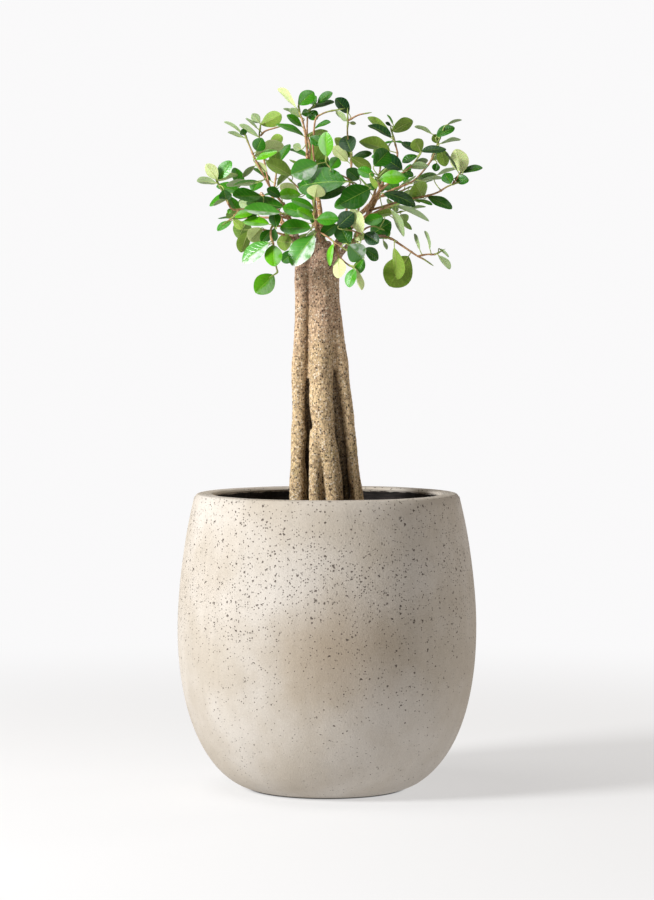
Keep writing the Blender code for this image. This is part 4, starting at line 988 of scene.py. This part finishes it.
def clear_of_leaves(leaf, crowd, allow_own):
    """The leaf's two hulls, or nothing if it would cross a leaf that stands already."""
    centre = leaf["base"] + leaf["direction"] * leaf["length"] / 2
    reach = leaf["length"] / 2 + (leaf["base"] - leaf["attach"]).length + 2 * CLEARANCE
    rows = leaf_rows(leaf, TEST_STATIONS, 0.35)
    blade = hull_of(rows[1:], leaf["normal"])
    whole = hull_of(rows, leaf["normal"])
    for owner, other_centre, other_reach, other_blade, other_whole in crowd:
        if (centre - other_centre).length > reach + other_reach:
            continue
        if owner == leaf["owner"]:
            if not allow_own and blade.overlap(other_blade):
                return None
        elif whole.overlap(other_whole):
            return None
    return leaf["owner"], centre, reach, blade, whole


def fit_leaf(make, crowd, tree, wood):
    """The leaf as wished, or moved in depth and rolled until it stands clear of its neighbours."""
    for allow_own in (False, True):
        for extra_roll in EXTRA_ROLLS:
            for shift in DEPTH_SHIFTS:
                leaf = make(shift, extra_roll)
                if not clear_of_wood(leaf, tree, wood):
                    continue
                room = clear_of_leaves(leaf, crowd, allow_own)
                if room:
                    crowd.append(room)
                    return leaf
    return None


def grow_crown():
    """The twigs and fitted leaves of every leafy stem, and the leaves that found no room."""
    plan = plan_twigs()
    tree, wood = wood_search(plan)
    crowd, fitted, lost = [], {}, []
    for order, (name, lines) in enumerate(plan.items()):
        draw = random.Random(CROWN_SEED + order)
        fitted[name] = []
        wished = SPRAYS[name][1] if name in SPRAYS else range(BACK_SPRAYS[name][-1])
        for wish in wished:
            chance = draw_chances(draw)
            maker = seen_leaf if name in SPRAYS else spiral_leaf
            source = (wish, lines) if name in SPRAYS else (lines[0], wish)

            def make(shift, extra_roll):
                return maker(name, *source, chance, shift, extra_roll)
            leaf = fit_leaf(make, crowd, tree, wood)
            if leaf:
                fitted[name].append(leaf)
            else:
                lost.append((name, wish))
    return plan, fitted, lost


def apply_modifiers(item):
    """Replaces the object's mesh by its evaluated one."""
    bpy.context.view_layer.update()
    graph = bpy.context.evaluated_depsgraph_get()
    mesh = bpy.data.meshes.new_from_object(item.evaluated_get(graph))
    item.modifiers.clear()
    item.data = mesh
    return item


def new_object(name, mesh):
    """An object of that mesh in the scene."""
    made = bpy.data.objects.new(name, mesh)
    bpy.context.scene.collection.objects.link(made)
    return made


def change_mesh(mesh, change):
    """Runs a change on the mesh as an editable grid."""
    grid = bmesh.new()
    grid.from_mesh(mesh)
    change(grid)
    grid.to_mesh(mesh)
    grid.free()


def weld(grid):
    """Merges the doubles of a grid and turns its faces outwards."""
    bmesh.ops.remove_doubles(grid, verts=grid.verts, dist=0.001 * MM)
    bmesh.ops.recalc_face_normals(grid, faces=grid.faces)


def revolve(name, profile, sides, closed):
    """A turned piece from a profile of (radius, height) points at +X."""
    mesh = bpy.data.meshes.new(name)
    points = [(radius, 0, height) for radius, height in profile]
    edges = [(i, i + 1) for i in range(len(points) - 1)]
    if closed:
        edges.append((len(points) - 1, 0))
    mesh.from_pydata(points, edges, [])
    item = new_object(name, mesh)
    turn = item.modifiers.new("Turn", "SCREW")
    turn.steps = turn.render_steps = sides
    turn.use_merge_vertices = True
    turn.merge_threshold = 0.00001
    apply_modifiers(item)
    change_mesh(item.data, weld)
    return item


def outside_radius(height):
    """The planter's outer radius: a bowl below the belly, and a parabola above it."""
    if height >= BELLY_HEIGHT:
        share = (height - BELLY_HEIGHT) / (POT_HEIGHT - BELLY_HEIGHT)
        return POT_RADIUS - (POT_RADIUS - RIM_RADIUS) * share**2
    share = (BELLY_HEIGHT - height) / BELLY_HEIGHT
    low = FOOT_RADIUS - BOWL_INSET
    return low + (POT_RADIUS - low) * max(0.0, 1 - share**BOWL_CURVE) ** 0.5


def wall_heights(low, steps):
    """Heights from under the rim's round down, closer together near the foot."""
    high = POT_HEIGHT - RIM_ROUND
    return [low + (high - low) * (1 - i / steps) ** 1.5 for i in range(steps + 1)]


def inside_wall():
    """The points of the planter's inner wall, from the rim down to the floor."""
    low = FLOOR_THICKNESS + FLOOR_ROUND
    wall = [(outside_radius(z) - WALL, z) for z in wall_heights(low, INSIDE_STEPS)]
    return wall + [(wall[-1][0] - 1.5 * FLOOR_ROUND, FLOOR_THICKNESS)]


def rim_round(outer):
    """The rounded edge of the rim, from its top down the outside or up from the inside."""
    edge = RIM_RADIUS - RIM_ROUND if outer else RIM_RADIUS - WALL + RIM_ROUND
    way = 1 if outer else -1
    turns = [math.pi / 2 * (1 - i / RIM_ARC_STEPS) for i in range(RIM_ARC_STEPS)]
    arc = [(edge + way * RIM_ROUND * math.cos(turn),
            POT_HEIGHT - RIM_ROUND + RIM_ROUND * math.sin(turn)) for turn in turns]
    return arc if outer else arc[::-1]


def pot_profile():
    """The planter's section: over the rim, down the outside, up the drain and up the inside."""
    outside = [(outside_radius(z), z) for z in wall_heights(RIM_ROUND / 2, OUTSIDE_STEPS)]
    foot = [(FOOT_RADIUS, 0), (FOOT_RADIUS * 0.6, 0), (DRAIN_RADIUS, 0),
            (DRAIN_RADIUS, FLOOR_THICKNESS / 2), (DRAIN_RADIUS, FLOOR_THICKNESS)]
    return rim_round(True) + outside + foot + inside_wall()[::-1] + rim_round(False)


def build_pot(look):
    """The thick-walled planter, with the slight unevenness of a hand-filled mould."""
    pot = revolve("concrete_planter", pot_profile(), POT_SIDES, closed=True)
    for corner in pot.data.vertices:
        place = corner.co.copy()
        out = Vector((place.x, place.y, 0)).normalized()
        if place.z > 2 * RIM_ROUND:
            corner.co += out * POT_DENTS * noise.noise(place * 14)
            if place.z > POT_HEIGHT - RIM_ROUND:
                corner.co.z += POT_DENTS * 0.5 * (noise.noise(place * 22) - 1)
    finish_piece(pot, [look], "concrete", "planter")


def soil_height(radius, turn):
    """The height of the potting mix: a low mound with clods."""
    reach = outside_radius(SOIL_TOP) - WALL
    place = Vector((radius * math.cos(turn), radius * math.sin(turn), 0))
    clods = noise.fractal(place * 90, 1.0, 2.0, 4) * SOIL_ROUGHNESS
    return SOIL_TOP + SOIL_MOUND * (1 - (radius / reach) ** 2) * 0.8 + clods - SOIL_ROUGHNESS / 2


def build_soil(look, crumb_look):
    """The potting mix: a body that fills the planter under its uneven top."""
    wall = [point for point in inside_wall()[:-1] if point[1] < SOIL_TOP - 4 * MM]
    reach = outside_radius(SOIL_TOP) - WALL - SOIL_GAP
    top = [(reach * ring / SOIL_RINGS, SOIL_TOP) for ring in range(SOIL_RINGS + 1)]
    floor = [(wall[-1][0] - 6 * SOIL_GAP, FLOOR_THICKNESS + SOIL_GAP), (0, FLOOR_THICKNESS + SOIL_GAP)]
    profile = top + [(radius - SOIL_GAP, height) for radius, height in wall] + floor
    soil = revolve("potting_mix_body", profile, SOIL_SIDES, closed=False)
    for corner in soil.data.vertices:
        if corner.co.z > SOIL_TOP - MM:
            radius = math.hypot(corner.co.x, corner.co.y)
            corner.co.z = soil_height(radius, math.atan2(corner.co.y, corner.co.x))
    finish_piece(soil, [look], "soil", "potting_mix")
    build_crumbs(soil, reach, crumb_look)


def build_crumbs(soil, reach, look):
    """The loose crumbs that lie on the potting mix, scattered by a rule."""
    tree, given, end = geometry_tree("Crumbs", {
        "Crumb": ("Material", None), "Count": ("Int", CRUMB_COUNT), "Seed": ("Int", CRUMB_SEED),
        "Smallest": ("Float", CRUMB_SIZES[0]), "Largest": ("Float", CRUMB_SIZES[1])})
    count, seed = given["Count"], given["Seed"]
    line = result(tree, "GeometryNodeMeshLine", {"Count": count}, "Mesh")

    def chance(low, high, number):
        node = add(tree, "FunctionNodeRandomValue", {"Seed": seed + number}, data_type="FLOAT")
        put(first_on(node.inputs, "Min"), low)
        put(first_on(node.inputs, "Max"), high)
        return Flow(first_on(node.outputs))
    turn = chance(0.0, 2 * math.pi, 1)
    radius = formula("SQRT", chance(0.0, 1.0, 2)) * (reach - CRUMB_SIZES[1])
    flat = result(tree, "ShaderNodeCombineXYZ", {
        "X": formula("COSINE", turn) * radius, "Y": formula("SINE", turn) * radius, "Z": SOIL_TOP + 0.03})
    places = result(tree, "GeometryNodeSetPosition", {"Geometry": line, "Position": flat}, "Geometry")
    bed = add(tree, "GeometryNodeObjectInfo", {"Object": soil}, transform_space="ORIGINAL")
    ray = add(tree, "GeometryNodeRaycast", {
        "Target Geometry": Flow(first_on(bed.outputs, "Geometry")), "Ray Length": 0.1})
    put(first_on(ray.inputs, "Ray Direction"), (0, 0, -1))
    landed = result(tree, "GeometryNodeSetPosition", {
        "Geometry": places, "Position": Flow(first_on(ray.outputs, "Hit Position"))}, "Geometry")
    grain = result(tree, "GeometryNodeMeshIcoSphere", {"Radius": 1.0, "Subdivisions": 1}, "Mesh")
    size = chance(0.0, 1.0, 3) ** 2.2 * (given["Largest"] - given["Smallest"]) + given["Smallest"]
    form = result(tree, "ShaderNodeCombineXYZ", {
        "X": size * chance(0.7, 1.5, 4), "Y": size * chance(0.5, 1.0, 5), "Z": size * chance(0.4, 0.8, 6)})
    tilt = result(tree, "ShaderNodeCombineXYZ", {
        "X": chance(-0.5, 0.5, 7), "Y": chance(-0.5, 0.5, 8), "Z": chance(0.0, 2 * math.pi, 9)})
    spots = store(landed, "shade", chance(0.0, 1.0, 10))
    spread = result(tree, "GeometryNodeInstanceOnPoints", {
        "Points": spots, "Instance": grain, "Scale": form,
        "Rotation": result(tree, "FunctionNodeEulerToRotation", {"Euler": tilt})}, "Instances")
    whole = result(tree, "GeometryNodeRealizeInstances", {"Geometry": spread}, "Geometry")
    dressed = result(tree, "GeometryNodeSetMaterial",
                     {"Geometry": whole, "Material": given["Crumb"]}, "Geometry")
    put(end.inputs[0], dressed)
    crumbs = new_object("soil_crumbs", bpy.data.meshes.new("soil_crumbs"))
    grow(crumbs, tree, {"Crumb": look})
    finish_piece(crumbs, None, "soil")


def tube(name, points, radii, resolution):
    """A closed tube along points in metres, as a mesh object."""
    curve = bpy.data.curves.new(name, "CURVE")
    curve.dimensions = "3D"
    curve.bevel_depth = 1.0
    curve.bevel_resolution = resolution
    curve.use_fill_caps = True
    line = curve.splines.new("POLY")
    line.points.add(len(points) - 1)
    for place, point, radius in zip(line.points, points, radii):
        place.co = (*point, 1)
        place.radius = radius
    guide = bpy.data.objects.new(name, curve)
    bpy.context.scene.collection.objects.link(guide)
    bpy.context.view_layer.update()
    graph = bpy.context.evaluated_depsgraph_get()
    mesh = bpy.data.meshes.new_from_object(guide.evaluated_get(graph))
    change_mesh(mesh, weld)
    bpy.data.objects.remove(guide)
    return new_object(name, mesh)


def join(name, items):
    """One object of the meshes of several, which still overlap inside it."""
    whole = bmesh.new()
    for item in items:
        whole.from_mesh(item.data)
        bpy.data.objects.remove(item)
    mesh = bpy.data.meshes.new(name)
    whole.to_mesh(mesh)
    whole.free()
    return new_object(name, mesh)


def build_trunk(look):
    """The stems grown together into one trunk, with its limbs and its rough bark."""
    stems = []
    for routes, slimness in ((STEMS, 1), (LIMBS, LIMB_SLIMNESS)):
        for name, route in routes.items():
            points = smooth_route(route, 4 * MM)
            stems.append(tube(f"wood_{name}", [Vector(p[:3]) * MM for p in points],
                              [p[3] * slimness * MM for p in points], 6))
    trunk = join("fig_trunk", stems)
    merge = trunk.modifiers.new("Grow together", "REMESH")
    merge.mode = "VOXEL"
    merge.voxel_size = TRUNK_VOXEL
    soften = trunk.modifiers.new("Soften", "SMOOTH")
    soften.factor = 0.5
    soften.iterations = TRUNK_SOFTENING
    apply_modifiers(trunk)
    roughen_bark(trunk.data)
    keep_hollows(trunk.data)
    finish_piece(trunk, [look], "bark", "trunk")


def roughen_bark(mesh):
    """Pushes the smooth stems into lumps, long flutes and small warts."""
    smooth = [(corner.co.copy(), corner.normal.copy()) for corner in mesh.vertices]
    rough = []
    for place, normal in smooth:
        along = Vector((place.x, place.y, place.z * 0.3))
        lumps = noise.noise(place * 38) * 1.1
        flutes = noise.noise(along * 95) * 0.8
        warts = noise.fractal(place * 300, 0.9, 2.1, 3) * 0.34
        thick = min(1.0, max(0.35, (0.61 - place.z) / 0.05))
        rough.extend(place + normal * (lumps + flutes + warts) * thick * MM)
    mesh.vertices.foreach_set("co", rough)
    mesh.update()


def keep_hollows(mesh):
    """Keeps for the bark's painted shade how closed in each spot is: 0 on open bark, 1 deep in a gap."""
    bark = BVHTree.FromPolygons([corner.co for corner in mesh.vertices],
                                [face.vertices for face in mesh.polygons])
    rays = []
    for k in range(HOLLOW_RAYS):
        rise = (k + 0.5) / HOLLOW_RAYS
        out = math.sqrt(1 - rise * rise)
        turn = math.radians(SPIRAL_STEP * k)
        rays.append(Vector((out * math.cos(turn), out * math.sin(turn), rise)))
    closed = []
    for corner in mesh.vertices:
        start = corner.co + corner.normal * HOLLOW_START
        turn = corner.normal.to_track_quat("Z", "Y")
        hits = [bark.ray_cast(start, turn @ ray, HOLLOW_REACH)[0] for ray in rays]
        closed.append(sum(hit is not None for hit in hits) / HOLLOW_RAYS)
    hollow = mesh.attributes.new("hollow", "FLOAT", "POINT")
    hollow.data.foreach_set("value", closed)


def finish_piece(item, looks, slot, *nodes):
    """Gives a finished piece its materials and smooth shading, hangs it under the root body and hides the imported
    parts that it stands for.
    """
    if looks:
        item.data.materials.clear()
        for look in looks:
            item.data.materials.append(look)
    item.data.shade_smooth()
    item.data.set_sharp_from_angle(angle=math.radians(50))
    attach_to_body(item, "root")
    if nodes:
        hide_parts(*nodes)


def blade_place(tree, along, across):
    """The point of a leaf's middle surface, from the leaf's own attributes, as blade_point gives it."""
    length, width = named(tree, "length"), named(tree, "width")
    base, normal = named(tree, "base", "FLOAT_VECTOR"), named(tree, "normal", "FLOAT_VECTOR")
    direction, side = named(tree, "direction", "FLOAT_VECTOR"), named(tree, "side", "FLOAT_VECTOR")
    swell = formula("SINE", along ** BLADE_LEAN * math.pi)
    share = formula("MAXIMUM", swell, 0.0) ** BLADE_FULLNESS
    stalk_half = smooth_step(0.2 - along, 0.0, 0.2) * STALK_HALF
    half = formula("MAXIMUM", width / 2 * share, stalk_half)
    out = formula("ABSOLUTE", across)
    arch = named(tree, "arch") * length * along * (1.0 - along) * 4
    fold = named(tree, "fold") * half * (out - 0.5)
    ripple = formula("SINE", along * 9.0 + named(tree, "phase")) * out * across
    wave = named(tree, "wave") * length * ripple * share
    return base + direction * (length * along) + side * (half * across) + normal * (arch + fold + wave)


def leafy_tree():
    """The tree that grows a leafy stem: wood along its twigs, and a stalk and a blade at each leaf."""
    tree, given, end = geometry_tree("Leafy stem", {
        "Stations along": ("Int", 15), "Stations across": ("Int", 9),
        "Blade thickness": ("Float", BLADE_THICKNESS), "Stalk radius": ("Float", 0.55 * MM),
        "Rib radius": ("Float", 0.5 * MM), "Sides": ("Int", 8), "Top": ("Material", None),
        "Underside": ("Material", None), "Stalk": ("Material", None), "Wood": ("Material", None)})
    leaves = named(tree, "leaf", "BOOLEAN")
    blades = blade_sheets(tree, given, leaves)
    stalks = leaf_stalks(tree, given, leaves)
    wood = result(tree, "GeometryNodeMeshToCurve", {"Mesh": given["Geometry"]}, "Curve")
    ring = result(tree, "GeometryNodeCurvePrimitiveCircle", {"Resolution": given["Sides"], "Radius": 1.0},
                  "Curve")
    wood = result(tree, "GeometryNodeCurveToMesh", {
        "Curve": wood, "Profile Curve": ring, "Scale": named(tree, "thick"), "Fill Caps": True}, "Mesh")
    whole = joined(blades, stalks, store(wood, "part", 3, "FACE", "INT"))
    whole = result(tree, "GeometryNodeRealizeInstances", {"Geometry": whole}, "Geometry")
    part = named(tree, "part", "INT")
    for number, name in enumerate(("Top", "Underside", "Stalk", "Wood")):
        chosen = result(tree, "FunctionNodeCompare", {"A": part, "B": number}, "Result",
                        data_type="INT", operation="EQUAL")
        whole = result(tree, "GeometryNodeSetMaterial", {
            "Geometry": whole, "Selection": chosen, "Material": given[name]}, "Geometry")
    put(end.inputs[0], whole)
    return tree


def blade_sheets(tree, given, leaves):
    """Every blade: two sheets that meet round the margin, laid on the blade's curved surface."""
    grid = add(tree, "GeometryNodeMeshGrid", {
        "Size X": 2.0, "Size Y": 1.0, "Vertices X": given["Stations across"],
        "Vertices Y": given["Stations along"]})
    sheet = store(Flow(first_on(grid.outputs, "Mesh")), "UVMap", Flow(first_on(grid.outputs, "UV Map")),
                  "CORNER", "FLOAT2")
    x, y, _ = parts_of(result(tree, "GeometryNodeInputPosition"))
    evenly = y + 0.5
    eased = (1.0 - formula("COSINE", evenly * math.pi)) / 2
    sheet = store(sheet, "along", blend_number(0.6, evenly, eased))
    sheet = store(sheet, "across", formula("MULTIPLY", formula("SIGN", x), formula("ABSOLUTE", x) ** 1.15))
    top = store(store(sheet, "lift", 1.0), "part", 0, "FACE", "INT")
    back = result(tree, "GeometryNodeFlipFaces", {"Mesh": sheet}, "Mesh")
    back = store(store(back, "lift", -1.0), "part", 1, "FACE", "INT")
    spread = result(tree, "GeometryNodeInstanceOnPoints", {
        "Points": given["Geometry"], "Selection": leaves, "Instance": joined(top, back)}, "Instances")
    blades = result(tree, "GeometryNodeRealizeInstances", {"Geometry": spread}, "Geometry")
    along, across = named(tree, "along"), named(tree, "across")
    edge = formula("SQRT", formula("MAXIMUM", 1.0 - across * across, 0.0))
    ends = smooth_step(along, 0.0, 0.08) * smooth_step(1.0 - along, 0.0, 0.08)
    lift = named(tree, "lift") * given["Blade thickness"] / 2 * edge * ends
    groove = smooth_step(0.16 - formula("ABSOLUTE", across), 0.0, 0.16) * ends * 0.3 * MM
    place = blade_place(tree, along, across) + named(tree, "normal", "FLOAT_VECTOR") * (lift - groove)
    blades = result(tree, "GeometryNodeSetPosition", {"Geometry": blades, "Position": place}, "Geometry")
    return result(tree, "GeometryNodeMergeByDistance", {"Geometry": blades, "Distance": 0.005 * MM},
                  "Geometry")


def leaf_stalks(tree, given, leaves):
    """Every leaf's stalk, bent from the twig into the blade, and the rib that runs on below it."""
    ring = result(tree, "GeometryNodeCurvePrimitiveCircle", {"Resolution": 7, "Radius": 1.0}, "Curve")
    along = result(tree, "GeometryNodeSplineParameter", output="Factor")
    attach, bend = named(tree, "attach", "FLOAT_VECTOR"), named(tree, "bend", "FLOAT_VECTOR")
    base, normal = named(tree, "base", "FLOAT_VECTOR"), named(tree, "normal", "FLOAT_VECTOR")
    left = 1.0 - along
    stalk = attach * (left * left) + bend * (along * left * 2) + base * (along * along)
    stalk_radius = given["Stalk radius"] * (1.0 + smooth_step(0.25 - along, 0.0, 0.25) * 0.5)
    under = normal * (given["Blade thickness"] / 2 + 0.1 * MM)
    rib = blade_place(tree, along * 0.9, along * 0.0) - under * smooth_step(along, 0.0, 0.12)
    rib_radius = given["Rib radius"] * (1.0 - along * 0.72)
    tubes = []
    for count, place, radius in ((8, stalk, stalk_radius), (12, rib, rib_radius)):
        line = result(tree, "GeometryNodeCurvePrimitiveLine", output="Curve")
        line = result(tree, "GeometryNodeResampleCurve", {"Curve": line, "Count": count}, "Curve")
        spread = result(tree, "GeometryNodeInstanceOnPoints", {
            "Points": given["Geometry"], "Selection": leaves, "Instance": line}, "Instances")
        lines = result(tree, "GeometryNodeRealizeInstances", {"Geometry": spread}, "Geometry")
        lines = result(tree, "GeometryNodeSetPosition", {"Geometry": lines, "Position": place}, "Geometry")
        tubes.append(result(tree, "GeometryNodeCurveToMesh", {
            "Curve": lines, "Profile Curve": ring, "Scale": radius, "Fill Caps": True}, "Mesh"))
    return store(joined(*tubes), "part", 2, "FACE", "INT")


def fine_twig(line, main, leaves):
    """A twig's points, radii and ages: slimmer than the solid's, with swollen nodes and a bud."""
    radii = [radius * TWIG_SLIMNESS for radius in twig_radii(len(line), main)]
    ages = [k / (len(line) - 1) for k in range(len(line))]
    for k, point in enumerate(line):
        nearest = min(((leaf["attach"] - point).length for leaf in leaves), default=1)
        radii[k] += NODE_SWELLING * math.exp(-((nearest / NODE_REACH) ** 2))
    way = (line[-1] - line[-3]).normalized()
    points = line + [line[-1] + way * reach for reach, _ in BUD]
    radii += [radii[-1] * share for _, share in BUD]
    return points, radii, ages + [1.0] * len(BUD)


def leaf_values(leaf, draw):
    """What the tree reads at one leaf's point."""
    stalk = leaf["base"] - leaf["attach"]
    bend = leaf["base"] - leaf["direction"] * stalk.length * STALK_BEND
    top, under = TONES[leaf["tone"]]
    light = draw.uniform(0.86, 1.14)
    values = {name: leaf[name] for name in ("base", "direction", "side", "normal", "attach", "length",
                                            "width", "arch", "fold", "wave", "phase")}
    values.update(bend=bend, leaf=True, shine=SHINES.get(leaf["tone"], SHINE), tint=[c * light for c in top[:3]] + [1],
                  under=[c * light for c in under[:3]] + [1])
    return values


ATTRIBUTES = {
    "leaf": ("BOOLEAN", "value"), "thick": ("FLOAT", "value"), "age": ("FLOAT", "value"),
    **{name: ("FLOAT", "value") for name in ("length", "width", "arch", "fold", "wave", "phase", "shine")},
    **{name: ("FLOAT_VECTOR", "vector")
       for name in ("base", "direction", "side", "normal", "attach", "bend")},
    "tint": ("FLOAT_COLOR", "color"), "under": ("FLOAT_COLOR", "color"),
}
EMPTY = {"BOOLEAN": False, "FLOAT": 0.0, "FLOAT_VECTOR": (0, 0, 0), "FLOAT_COLOR": (0, 0, 0, 1)}


def plan_mesh(name, lines, leaves, draw):
    """The plan of a leafy stem: its twigs as edges, and a loose point for each leaf."""
    points, edges, values = [], [], []
    for line in lines:
        fine, radii, ages = fine_twig(line, line is lines[0], leaves)
        edges += [(len(points) + k, len(points) + k + 1) for k in range(len(fine) - 1)]
        points += fine
        values += [{"thick": radius, "age": age} for radius, age in zip(radii, ages)]
    points += [leaf["base"] for leaf in leaves]
    values += [leaf_values(leaf, draw) for leaf in leaves]
    mesh = bpy.data.meshes.new(name)
    mesh.from_pydata(points, edges, [])
    for label, (kind, field) in ATTRIBUTES.items():
        kept = mesh.attributes.new(label, kind, "POINT")
        for place, row in zip(kept.data, values):
            setattr(place, field, row.get(label, EMPTY[kind]))
    return mesh


def build_crown(looks):
    """Every leafy stem, each standing for its own solid."""
    plan, fitted, _ = grow_crown()
    tree = leafy_tree()
    draw = random.Random(TONE_SEED)
    for name, lines in plan.items():
        item = new_object(f"leafy_stem_{name}", plan_mesh(name, lines, fitted[name], draw))
        grow(item, tree, looks)
        finish_piece(item, None, "leaf", f"spray_{name}")


def towards(item, place, aim):
    """Puts a lamp or the camera at a place and turns it to its aim."""
    item.location = place
    item.rotation_euler = (Vector(aim) - Vector(place)).to_track_quat("-Z", "Y").to_euler()


def build_studio():
    """The pale floor, the soft lamps, the white room and the camera."""
    bpy.ops.mesh.primitive_plane_add(size=60)
    ground = bpy.context.active_object
    ground.name = "studio_floor_plane"
    ground.data.materials.append(floor_look())
    for name, (place, size, power, tint) in LIGHTS.items():
        data = bpy.data.lights.new(name, "AREA")
        data.shape = "DISK"
        data.size = size
        data.energy = power
        data.color = tint
        lamp = bpy.data.objects.new(name, data)
        bpy.context.scene.collection.objects.link(lamp)
        towards(lamp, place, AIM)
    room = bpy.data.worlds.new("white_room")
    room.use_nodes = True
    tree = room.node_tree
    seen = result(tree, "ShaderNodeLightPath", output="Is Camera Ray")
    sky = tree.nodes["Background"]
    put(sky.inputs["Color"], blend(seen, SKY_TINT, BACKDROP))
    put(sky.inputs["Strength"], blend_number(seen, SKY_FILL, 1.0))
    bpy.context.scene.world = room
    eye = bpy.data.cameras.new("eye")
    eye.lens = LENS
    camera = bpy.data.objects.new("eye", eye)
    bpy.context.scene.collection.objects.link(camera)
    towards(camera, CAMERA_PLACE, CAMERA_AIM)
    bpy.context.scene.camera = camera
    bpy.context.scene.view_settings.view_transform = "Standard"


def write_sizes():
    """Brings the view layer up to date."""
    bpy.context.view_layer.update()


def main():
    build_pot(concrete_look())
    build_soil(soil_look(), crumb_look())
    build_trunk(bark_look())
    build_crown({"Top": leaf_top_look(), "Underside": leaf_under_look(), "Stalk": stalk_look(),
                 "Wood": twig_look()})
    build_studio()
    write_sizes()


main()
